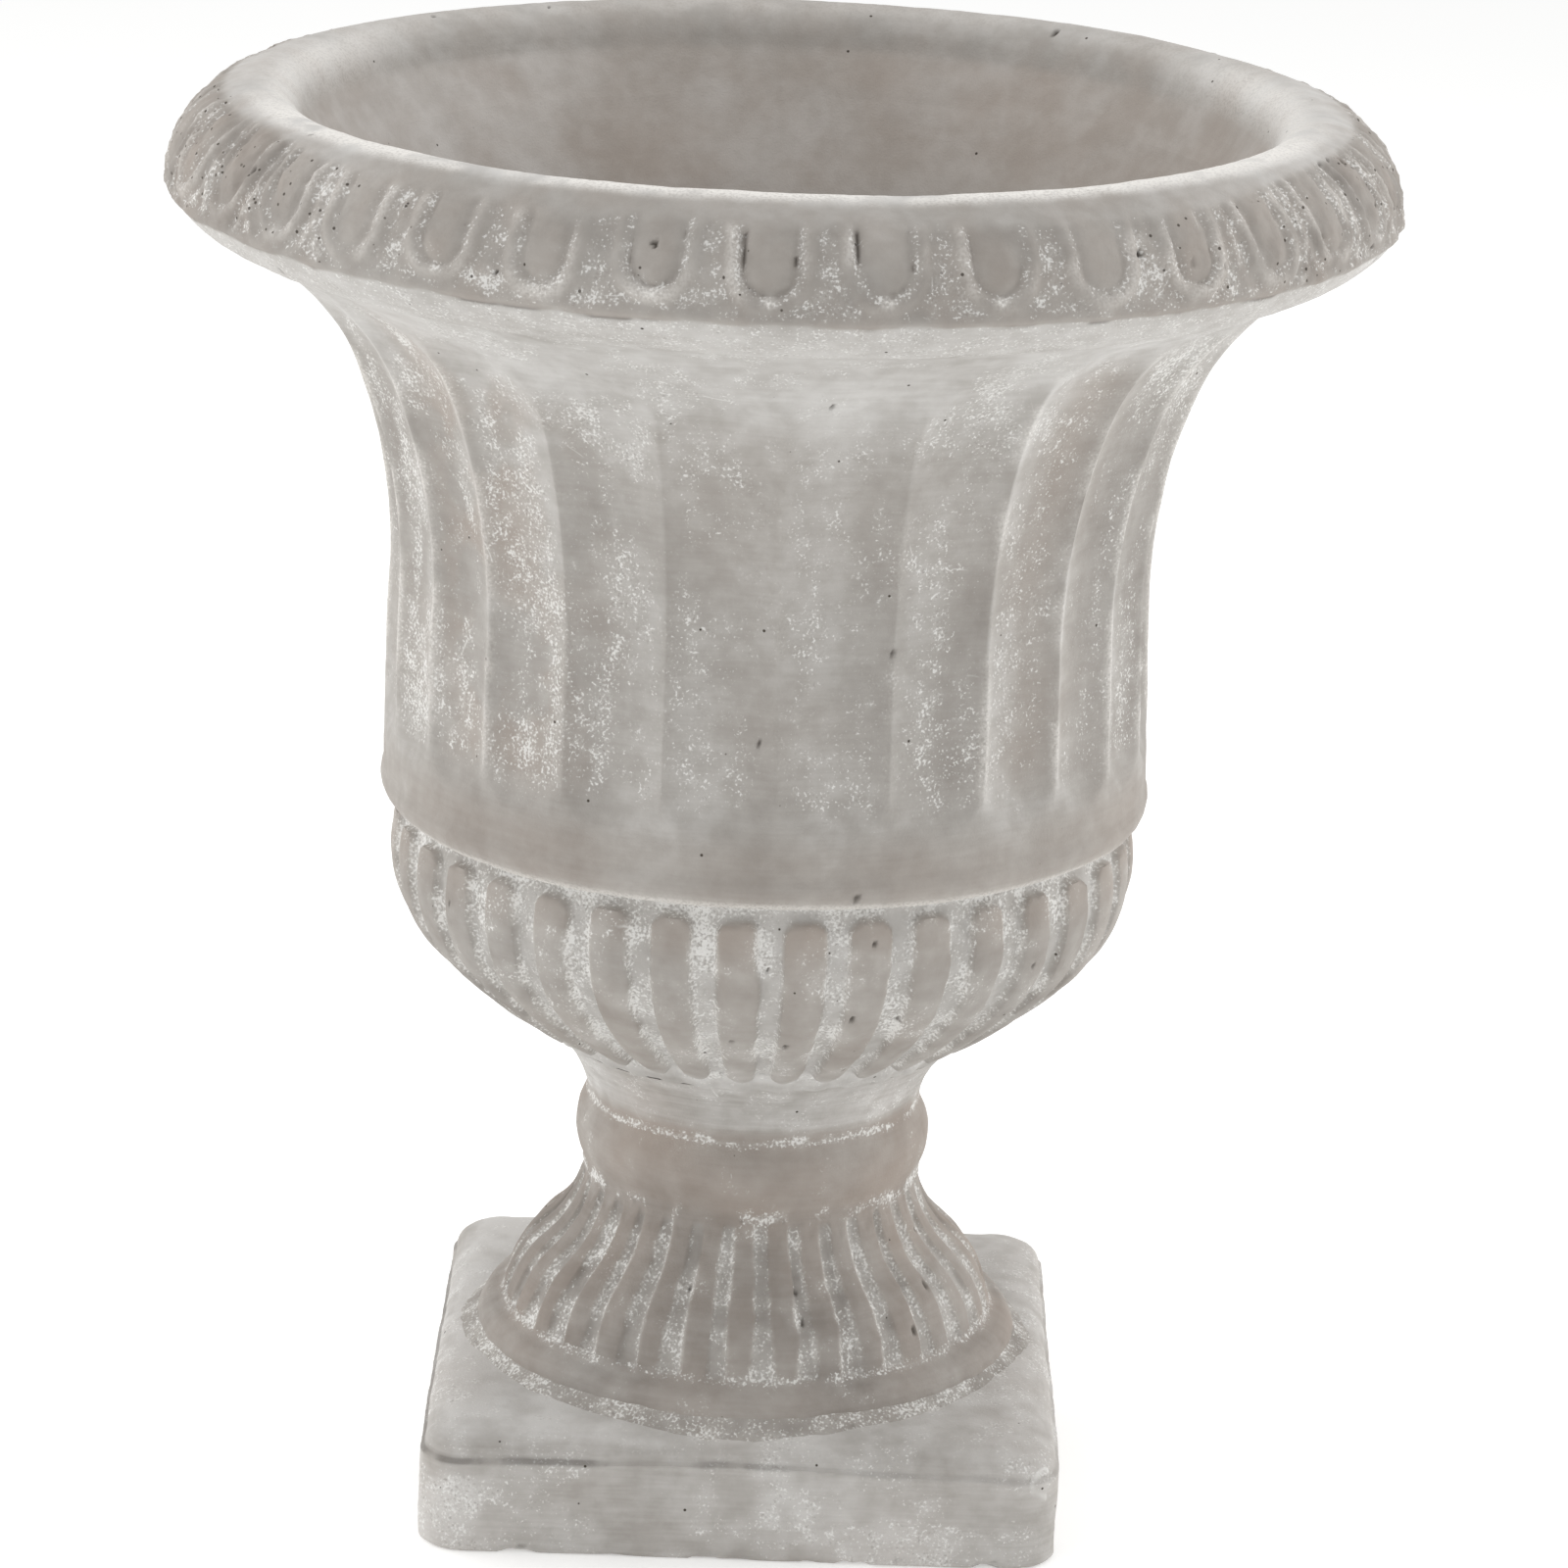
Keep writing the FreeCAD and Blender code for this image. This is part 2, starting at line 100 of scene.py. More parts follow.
def random_field(points: Array, cell: float | Array, seed: int) -> Array:
    """Smooth random field: hashed values at the corners of box cells, blended by eased weights.

    Args:
        points: Places in millimetres, last axis of three.
        cell: Size of a cell, one number or one for each axis.
        seed: Chooses the field.

    Returns:
        Numbers from -1 to 1, one for each point.
    """
    scaled = points / cell
    corner = np.floor(scaled)
    part = scaled - corner
    part = part * part * (3.0 - 2.0 * part)
    corner = corner.astype(np.int64)
    total = np.zeros(points.shape[:-1])
    for step in np.ndindex(2, 2, 2):
        key = ((corner + step) @ HASH_STEPS + seed * HASH_SEED) & WORD
        for shift, factor in HASH_ROUNDS:
            key = ((key ^ (key >> shift)) * factor) & WORD
        key ^= key >> HASH_LAST_SHIFT
        weight = np.where(np.array(step) == 1, part, 1.0 - part).prod(-1)
        total += weight * (2.0 * key / (WORD + 1) - 1.0)
    return total


def rough_field(points: Array, cell: float | Array, seed: int, octaves: int = 3) -> Array:
    """Sum of random fields, each half as coarse and half as strong as the one before.

    Args:
        points: Places in millimetres.
        cell: Cell size of the coarsest field.
        seed: Chooses the fields.
        octaves: How many fields are added.

    Returns:
        Numbers of about -1 to 1.
    """
    return sum(random_field(points, np.divide(cell, 2.0**k), seed + k) * 0.5**k for k in range(octaves))


def spaced(path: Array, rows: int, density: Array | None = None) -> Array:
    """Points along a polyline, even by length or closer together where the density is higher.

    Args:
        path: Polyline of (radius, height).
        rows: How many points come back.
        density: Relative closeness at each point of the polyline.

    Returns:
        The points, first and last as in the polyline.
    """
    steps = np.hypot(*np.diff(path, axis=0).T)
    if density is not None:
        steps = steps * (density[1:] + density[:-1]) / 2
    travel = np.concatenate([[0.0], np.cumsum(steps)])
    places = np.linspace(0.0, travel[-1], rows)
    return np.column_stack([np.interp(places, travel, path[:, axis]) for axis in (0, 1)])


def eased(path: Array, reach: float) -> Array:
    """Path with eased corners: a running mean over the reach to either side.

    The ends are mirrored first, so that they stay.

    Args:
        path: Polyline of (radius, height) in millimetres.
        reach: Length that is averaged to either side.

    Returns:
        The eased path in steps of about half a millimetre.
    """
    fine = spaced(path, 1 + int(2.0 * np.hypot(*np.diff(path, axis=0).T).sum()))
    side = int(2.0 * reach)
    window = np.full(2 * side + 1, 1.0 / (2 * side + 1))
    ends = 2.0 * fine[0] - fine[side:0:-1], 2.0 * fine[-1] - fine[-2 : -side - 2 : -1]
    long = np.vstack([ends[0], fine, ends[1]])
    return np.column_stack([np.convolve(long[:, axis], window, "valid") for axis in (0, 1)])


class SectionPen:
    """Draws a half section of lines and arcs; the heading is degrees from +Z outwards."""

    STEPS = np.linspace(0.0, 1.0, 49)[1:]

    def __init__(self, radius: float, height: float, heading: float = 0.0) -> None:
        """Puts the pen down at a radius and height, with a heading."""
        self.heading = heading
        self.path = np.array([[radius, height]])

    def line_to(self, radius: float, height: float) -> "SectionPen":
        """Straight line to a point; the heading stays."""
        self.path = np.vstack([self.path, [[radius, height]]])
        return self

    def bend(self, arc_radius: float, turn: float) -> "SectionPen":
        """Arc from the present heading h0: radius grows by R(cos h0 - cos h), height by R(sin h - sin h0).

        Args:
            arc_radius: R, negative where the turn is negative.
            turn: Change of heading in degrees.

        Returns:
            The pen.
        """
        first = math.radians(self.heading)
        heading = first + math.radians(turn) * self.STEPS
        step = np.column_stack([math.cos(first) - np.cos(heading), np.sin(heading) - math.sin(first)])
        self.path = np.vstack([self.path, self.path[-1] + arc_radius * step])
        self.heading += turn
        return self

    def curve_to(self, radius: float, height: float) -> "SectionPen":
        """Arc that leaves along the heading and ends at a point: it turns by twice the chord's swing."""
        chord = np.array([radius, height]) - self.path[-1]
        turn = 2.0 * (math.degrees(math.atan2(chord[0], chord[1])) - self.heading)
        return self.bend(np.hypot(*chord) / (2.0 * math.sin(math.radians(turn / 2))), turn)

    def bow_to(self, radius: float, height: float, sag: float) -> "SectionPen":
        """Arc to a point, bulging outwards by the sag: its whole turn is 4 atan(2 sag / chord)."""
        chord = np.array([radius, height]) - self.path[-1]
        swing = 2.0 * math.atan2(2.0 * sag, np.hypot(*chord))
        self.heading = math.degrees(math.atan2(chord[0], chord[1]) + swing)
        return self.curve_to(radius, height)


@dataclass(frozen=True)
class BowlSection:
    """Half section of the bowl, with the construction model's sizes."""

    base_r: float = 48.5
    base_z: float = 105.0
    base_lean: float = 62.0
    pointing: tuple[float, float] = (47.6, 103.6)
    haunch: tuple[float, float] = (75.5, 125.5)
    seam: tuple[float, float] = (82.0, 157.5)
    lip: tuple[float, float] = (86.5, 165.0)
    drum_r: float = 85.3
    flare_z: float = 212.0
    gentle_arc: tuple[float, float] = (125.0, 23.6)
    tight_arc: tuple[float, float] = (50.0, 42.4)
    rim_r: float = 136.2
    belly_rise: float = 10.8
    underside_sag: float = 1.8
    shoulder: tuple[float, float] = (5.0, 14.0)
    crest_inset: float = 17.2
    rim_height: float = 32.3
    lip_inset: float = 29.2
    lip_drop: float = 7.8
    inside_corners: tuple[tuple[float, float], ...] = (
        (82.7, 276.0), (67.3, 224.0), (67.3, 152.0), (53.3, 138.0), (39.3, 134.0))
    middle_corners: tuple[tuple[float, float], ...] = (
        (93.8, 276.0), (83.4, 255.0), (76.0, 212.0), (76.0, 158.0), (66.0, 134.0), (46.0, 116.0),
        (44.0, 105.0))
    corner_ease: float = 12.0
    floor_z: float = 134.0
    pocket_r: float = 23.0
    pocket_z: float = 119.0
    bore_r: float = 11.5
    inner_seam_row: int = 28

    def calyx(self) -> Array:
        """Underside from the pointed joint over the foot, by the bowl's base, to the seam below the drum."""
        pen = SectionPen(*self.pointing, self.base_lean).line_to(self.base_r, self.base_z)
        return pen.curve_to(*self.haunch).curve_to(*self.seam).path

    def drum(self) -> Array:
        """Drum and flare from the seam to the rim's underside."""
        pen = SectionPen(*self.seam, 90.0).curve_to(*self.lip).line_to(self.drum_r, self.flare_z)
        pen.heading = 0.0
        return pen.bend(*self.gentle_arc).bend(*self.tight_arc).path

    def rim(self) -> Array:
        """Rolled rim from the flare's end, over the crest, to the inner edge."""
        start = self.drum()[-1]
        belly = start[1] + self.belly_rise
        crest = start[1] + self.rim_height
        pen = SectionPen(*start).bow_to(self.rim_r, belly, self.underside_sag)
        pen.heading = 0.0
        pen.curve_to(self.rim_r - self.shoulder[0], belly + self.shoulder[1])
        pen.curve_to(self.rim_r - self.crest_inset, crest)
        return pen.curve_to(self.rim_r - self.lip_inset, crest - self.lip_drop).path

    def inner_wall(self) -> Array:
        """Inner wall from the rim's edge to the floor pocket: straight spans with eased corners."""
        corners = np.array([self.rim()[-1], *self.inside_corners, (self.pocket_r, self.floor_z)])
        return eased(corners, self.corner_ease)

    def inside(self) -> Array:
        """Inside below the rim's share: wall, floor, pocket, bore and the base outside it."""
        corners = [(self.pocket_r, self.pocket_z), (self.bore_r, self.pocket_z), (self.bore_r, self.base_z)]
        return np.vstack([self.inner_wall()[self.inner_seam_row :], corners])

    def mid_wall(self) -> Array:
        """Middle of the wall, where the bowl's four surfaces meet unseen, from the rim down to the base."""
        head = (self.drum()[-1] + self.inner_wall()[self.inner_seam_row]) / 2
        return np.array([head, *self.middle_corners])


class RingSurface:
    """A closed section carried round the axis on a grid of section rows and angle columns."""

    def __init__(self, shown: Array, hidden: Array, columns: int) -> None:
        """Sets the grid up.

        Args:
            shown: Section rows that are seen, outside upwards or inside downwards.
            hidden: Rows that close the section inside the wall.
            columns: Steps round the axis.
        """
        self.shown = shown
        self.hidden = hidden
        self.turn = np.arange(columns) * (2.0 * math.pi / columns)
        slope = np.gradient(shown, axis=0)
        slope /= np.hypot(slope[:, 0], slope[:, 1])[:, None]
        self.normal = np.column_stack([slope[:, 1], -slope[:, 0]])
        steps = np.hypot(*np.diff(shown, axis=0).T)
        self.along = np.concatenate([[0.0], np.cumsum(steps)])[:, None]
        self.r = shown[:, :1]
        self.z = shown[:, 1:]
        self.degrees = ((np.degrees(self.turn) + 180.0) % 360.0 - 180.0)[None, :]

    def carried(self, section_r: Array, section_z: Array) -> Array:
        """Points x = r sin t, y = -r cos t, z for every row and column."""
        x = section_r * np.sin(self.turn)
        y = -section_r * np.cos(self.turn)
        return np.stack([x, y, np.broadcast_to(section_z, x.shape)], axis=-1)

    def points(self) -> Array:
        """Shown points before any shift."""
        return self.carried(self.r, self.z)

    def repeat(self, count: int, first: float) -> tuple[Array, Array]:
        """Number of the nearest repeat and the angle from its middle, for every column."""
        pitch = 360.0 / count
        index = np.round((self.degrees - first) / pitch)
        return index.astype(int) % count, self.degrees - first - index * pitch

    def arc(self, angle: Array) -> Array:
        """Length round the surface of an angle in degrees, at each row."""
        return np.radians(angle) * self.r

    def make(self, name: str, shift: Array, tints: dict[Tint, Array]) -> bpy.types.Object:
        """Object with the shown rows pushed along their normals by the shift.

        Args:
            name: Name of the piece.
            shift: Push in millimetres for each shown row and column.
            tints: Weathering, painted light and painted shade for each shown row and column.

        Returns:
            The new object.
        """
        outer = self.carried(self.r + shift * self.normal[:, :1], self.z + shift * self.normal[:, 1:])
        points = np.concatenate([outer, self.carried(self.hidden[:, :1], self.hidden[:, 1:])])
        return grid_object(name, points, tints)


def grid_object(name: str, points: Array, tints: dict[Tint, Array]) -> bpy.types.Object:
    """Smooth closed mesh over a grid that wraps both ways, with painted weathering, painted light and painted
    shade.

    Args:
        name: Name of the piece.
        points: Places in millimetres, rows by columns by three.
        tints: Weathering, painted light and painted shade for the first rows; the rest get none.

    Returns:
        The new object, linked to the scene.
    """
    rows, columns = points.shape[:2]
    number = np.arange(rows * columns).reshape(rows, columns)
    above = np.roll(number, -1, axis=0)
    corners = (number, np.roll(number, -1, axis=1), np.roll(above, -1, axis=1), above)
    quads = np.stack(corners, axis=-1).reshape(-1)
    mesh = bpy.data.meshes.new(name)
    mesh.vertices.add(rows * columns)
    mesh.vertices.foreach_set("co", (points * MM).astype(np.float32).reshape(-1))
    mesh.loops.add(len(quads))
    mesh.loops.foreach_set("vertex_index", quads.astype(np.int32))
    mesh.polygons.add(len(quads) // 4)
    mesh.polygons.foreach_set("loop_start", np.arange(0, len(quads), 4, dtype=np.int32))
    mesh.update(calc_edges=True)
    mesh.shade_smooth()
    mesh.set_sharp_from_angle(angle=SHARP_ANGLE)
    for tint in Tint:
        values = np.zeros((rows, columns), np.float32)
        if tint in tints:
            painted = np.asarray(tints[tint])
            values[: painted.shape[0]] = np.clip(painted, 0.0, 1.0)
        mesh.attributes.new(tint.value, "FLOAT", "POINT").data.foreach_set("value", values.reshape(-1))
    piece = bpy.data.objects.new(name, mesh)
    bpy.context.scene.collection.objects.link(piece)
    return piece


def fit_piece(piece: bpy.types.Object, finish: bpy.types.Material, node: str) -> None:
    """Gives a piece its finish and its place in the model.

    Args:
        piece: New object.
        finish: Its material.
        node: Node of the construction model that it stands for.
    """
    piece.data.materials.append(finish)
    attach(piece, URN_BODY)
    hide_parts(node)
    LOG.info("%s: %d faces, stands for %s", piece.name, len(piece.data.polygons), node)


def bug_holes(ring: RingSurface, count: int, seed: int, span: tuple[float, float]) -> Array:
    """Small air holes of a casting at random places: ovals of random size with a soft flank.

    Args:
        ring: Surface that has the holes.
        count: How many there are.
        seed: Chooses the places.
        span: Lowest and highest share of the shown rows where they lie.

    Returns:
        1 in the middle of each air pocket, 0 away from it.
    """
    draw = np.random.default_rng(seed)
    holes = np.zeros((len(ring.shown), len(ring.turn)))
    places = draw.uniform(*span, count) * ring.along[-1, 0]
    angles = draw.uniform(-180.0, 180.0, count)
    sizes = draw.uniform(0.2, 0.7, count) ** 2.0 + 0.3
    stretches = draw.uniform(0.8, 1.6, count)
    for along, angle, size, stretch in zip(places, angles, sizes, stretches):
        near = np.abs(ring.along[:, 0] - along) < 3.0 * size * stretch
        gap = (ring.degrees - angle + 180.0) % 360.0 - 180.0
        square = (ring.arc(gap)[near] / size) ** 2 + ((ring.along[near] - along) / (size * stretch)) ** 2
        holes[near] = np.maximum(holes[near], 1.0 - ease(0.6, 1.5, square))
    return holes


@dataclass
class RolledRim:
    """Rolled rim with a band of U-shaped eggs, ribs beside them and rough darts between.

    Lengths along the section are counted from the flare upwards. Shares of paint run from 0 to 1.
    """

    section: BowlSection
    columns: int = 1200
    rows: int = 80
    row_density: float = 2.6
    eggs: int = 36
    first_egg: float = -1.0
    egg_half_width: float = 5.0
    egg_length: float = 14.6
    egg_top_z: float = 315.6
    egg_crown: float = 0.25
    side_rise: float = 4.5
    band_start: tuple[float, float] = (122.0, 293.0)
    band_foot: tuple[float, float] = (17.0, 21.0)
    groove_width: float = 0.8
    groove_depth: float = 1.1
    rib_place: float = 2.3
    rib_width: float = 1.3
    rib_height: float = 0.5
    dart_edge: tuple[float, float] = (3.2, 4.6)
    dart_depth: float = 0.6
    spine_width: float = 0.9
    spine_height: float = 0.6
    tear_width: float = 1.5
    tear_height: float = 0.4
    lip_start: float = 17.0
    lip_width: float = 1.7
    lip_height: float = 0.45
    crest_r: tuple[float, float] = (112.0, 123.0)
    crest_z: float = 315.0
    outer_r: float = 119.5
    outer_run: float = 40.0
    inner_lip_r: float = 110.0
    inner_z: tuple[float, float] = (309.0, 312.0)
    hole_depth: float = 0.9
    front_strength: tuple[tuple[int, float], ...] = (
        (33, 0.7), (34, 0.75), (35, 1.0), (0, 1.15), (1, 1.2), (2, 0.8))
    rough_angles: tuple[float, float] = (25.0, 60.0)
    side_angles: tuple[float, float] = (35.0, 65.0)
    fine_mm: float = 2.2
    coarse_mm: float = 9.0
    broad_mm: float = 26.0
    aside_angles: tuple[float, float] = (30.0, 70.0)
    edge_angles: tuple[float, float] = (85.0, 60.0)
    pitted_angles: tuple[float, float] = (95.0, 80.0)
    back_angles: tuple[float, float] = (135.0, 105.0)
    crest_fade: tuple[float, float] = (311.0, 316.5)
    edge_z: tuple[float, float] = (315.0, 317.0)
    edge_outer_r: tuple[float, float] = (123.0, 117.8)
    edge_inner_r: tuple[float, float] = (109.0, 112.5)

    def surface(self) -> RingSurface:
        """Rim and upper inner wall, with closer rows over the eggs and the crest."""
        path = np.vstack([self.section.rim(), self.section.inner_wall()[1 : self.section.inner_seam_row + 1]])
        in_band = (path[:, 0] > self.band_start[0]) & (path[:, 1] > self.band_start[1])
        on_crest = (path[:, 0] > self.crest_r[0]) & (path[:, 0] < self.crest_r[1])
        on_crest = on_crest & (path[:, 1] > self.crest_z)
        shown = spaced(path, self.rows, np.where(in_band | on_crest, self.row_density, 1.0))
        return RingSurface(shown, self.section.mid_wall()[:1], self.columns)

    def build(self) -> bpy.types.Object:
        """Grid of the rim; each groove follows its egg's outline: two straight sides and a half circle.

        Returns:
            The rim piece.
        """
        ring = self.surface()
        points = ring.points()
        fine = rough_field(points, self.fine_mm, seed=3)
        coarse = rough_field(points, self.coarse_mm, seed=5)
        broad = rough_field(points, self.broad_mm, seed=7, octaves=2)
        turned = np.abs(ring.degrees)
        rough = ease(*self.rough_angles, turned)
        to_side = ease(*self.side_angles, turned)
        outside = (ring.r > self.outer_r) | (ring.along < self.outer_run)

        # Each egg has its own strength, width and drop
        draw = np.random.default_rng(36)
        strength = draw.uniform(0.35, 0.8, self.eggs)
        for egg_number, egg_strength in self.front_strength:
            strength[egg_number] = egg_strength
        swell = draw.uniform(0.92, 1.08, self.eggs)
        drop = draw.uniform(-0.7, 0.7, self.eggs)
        index, angle = ring.repeat(self.eggs, self.first_egg)
        strength = strength[index]

        # Distance from the outline of the egg: across it, and down from its top
        from_top = np.where(ring.r[:, 0] > self.outer_r, np.abs(ring.z[:, 0] - self.egg_top_z), np.inf)
        taller = self.side_rise * to_side
        across = ring.arc(angle) + (0.35 + rough) * coarse
        down = ring.along[np.argmin(from_top), 0] + taller - ring.along - drop[index] + 0.3 * fine
        half = self.egg_half_width * swell[index]
        straight = self.egg_length + taller - half
        round_end = np.hypot(across, np.maximum(down - straight, 0.0))
        outline = np.where(down < straight, np.abs(across), round_end) - half

        # Relief
        band = ease(-2.0, 1.5, down) * (1.0 - ease(*self.band_foot, down - taller)) * outside
        cut = hump(outline, self.groove_width) * band * strength * ease(-0.9, 0.1, coarse + 0.3 * fine)
        rib = hump(outline - self.rib_place, self.rib_width) * band * (0.5 + 0.5 * strength)
        dart = ease(*self.dart_edge, outline) * band
        egg = ease(0.6, 3.5, -outline) * band
        spine = hump(outline - ring.arc(180.0 / self.eggs) + half, self.spine_width) * band * rough
        tear = hump(across, self.tear_width) * hump(down - straight - half - 1.2, 1.0)
        tear = tear * ease(0.5, 0.9, strength) * outside
        pitted = rough * ease(*self.pitted_angles, turned)
        holes = bug_holes(ring, count=24, seed=11, span=(0.06, 0.72))
        holes = np.maximum(holes, bug_holes(ring, count=60, seed=12, span=(0.2, 0.56)) * pitted)
        ragged = ring.along + 0.5 * coarse - self.lip_start
        shift = self.rib_height * rib - self.groove_depth * cut + self.egg_crown * egg
        shift += self.spine_height * spine + self.tear_height * tear - dart * (self.dart_depth + 0.35 * fine)
        shift += 0.3 * rough * band * (coarse + 0.9 * fine) - self.hole_depth * holes
        shift += 0.35 * broad + 0.10 * coarse + 0.05 * fine
        shift += self.lip_height * hump(ragged - 2.0, self.lip_width) - 0.25 * hump(ragged, 0.8)
        shift *= ease(0.0, 2.5, ring.along) * ease(0.0, 3.0, ring.along[-1] - ring.along)

        # Weathering, with painted light and shade
        under = 1.0 - ease(-0.6, 0.6, ragged)
        # Painted light: the crest's top is lighter, far more at the sides than at the front and back.
        crest = ease(*self.crest_fade, ring.z) * (1.0 - band)
        # Painted highlight: a pale band along the inner crest, strongest on the front half, in both the tone
        # and the pale edge layer.
        edge = ease(*self.edge_outer_r, ring.r + 0.6 * coarse) * ease(*self.edge_inner_r, ring.r)
        edge = edge * ease(*self.edge_z, ring.z) * (0.15 + 0.85 * ease(*self.edge_angles, turned))
        beside = to_side * ease(*self.back_angles, turned)
        above = ease(*self.inner_z, ring.z)
        # Painted highlight on the inner lip at the sides.
        lip = hump(ring.r - self.inner_lip_r, 4.0) * above * beside
        # Painted shade: the outer face is darker towards the sides.
        aside = ease(*self.aside_angles, turned) * (1.0 - crest) * outside
        inner = np.where(ring.r < self.crest_r[0], 1.0 - above, 0.0)
        # Painted shade in the deep grooves along the eggs' sides, laid in the dark pit layer.
        slit_shade = ease(0.8, 1.1, cut) * ease(1.0, -2.0, down - straight)
        # Painted shade: a dark line in the small groove along the rim's ragged lower edge.
        line = hump(ragged, 0.6) * ease(0.3, 0.8, coarse)
        wall_tone, wall_warm = BowlInside.weathering(points)
        tone = 0.43 + crest * (0.08 + 0.26 * beside) + 0.40 * edge + 0.10 * coarse * band
        tone = (tone + 0.2 * lip - 0.18 * aside) * (1.0 - under) + (0.80 + 0.06 * coarse) * under
        warm = (0.22 + 0.25 * coarse + 0.1 * egg) * (1.0 - 0.8 * under)
        wash = dart * (0.28 + 0.3 * fine) + 0.42 * hump(outline - 0.9, 0.9) * band * (0.35 + 0.65 * strength)
        wash = (wash + 0.16 * ease(0.1, 0.7, coarse) * band) * (1.0 - 0.6 * egg) * outside
        # Pale edge layer: rubbed ribs, tears and spines, and the painted highlights on the crest edge and the
        # inner lip.
        worn = edge * ease(-1.0, 0.0, coarse) + 0.4 * rib * ease(-0.5, 0.5, coarse)
        worn = worn + 0.5 * lip + 0.7 * tear + 0.35 * spine * ease(-0.4, 0.4, fine)
        tints = {
            Tint.TONE: tone * (1.0 - inner) + wall_tone * inner,
            Tint.WASH: wash + 0.24 * under,
            Tint.WARM: warm * (1.0 - inner) + wall_warm * inner,
            Tint.WORN_AND_HIGHLIGHT: worn,
            # Air holes, with the painted shade of the egg grooves and the lower edge.
            Tint.PITS_AND_SHADE: np.maximum(0.9 * holes, 0.8 * slit_shade) + 0.5 * line,
            Tint.BRUSH: 0.1 + 0.2 * under,
            Tint.PORES: (0.22 + 0.38 * rough) * band,
        }
        return ring.make("bowl_rim", shift, tints)


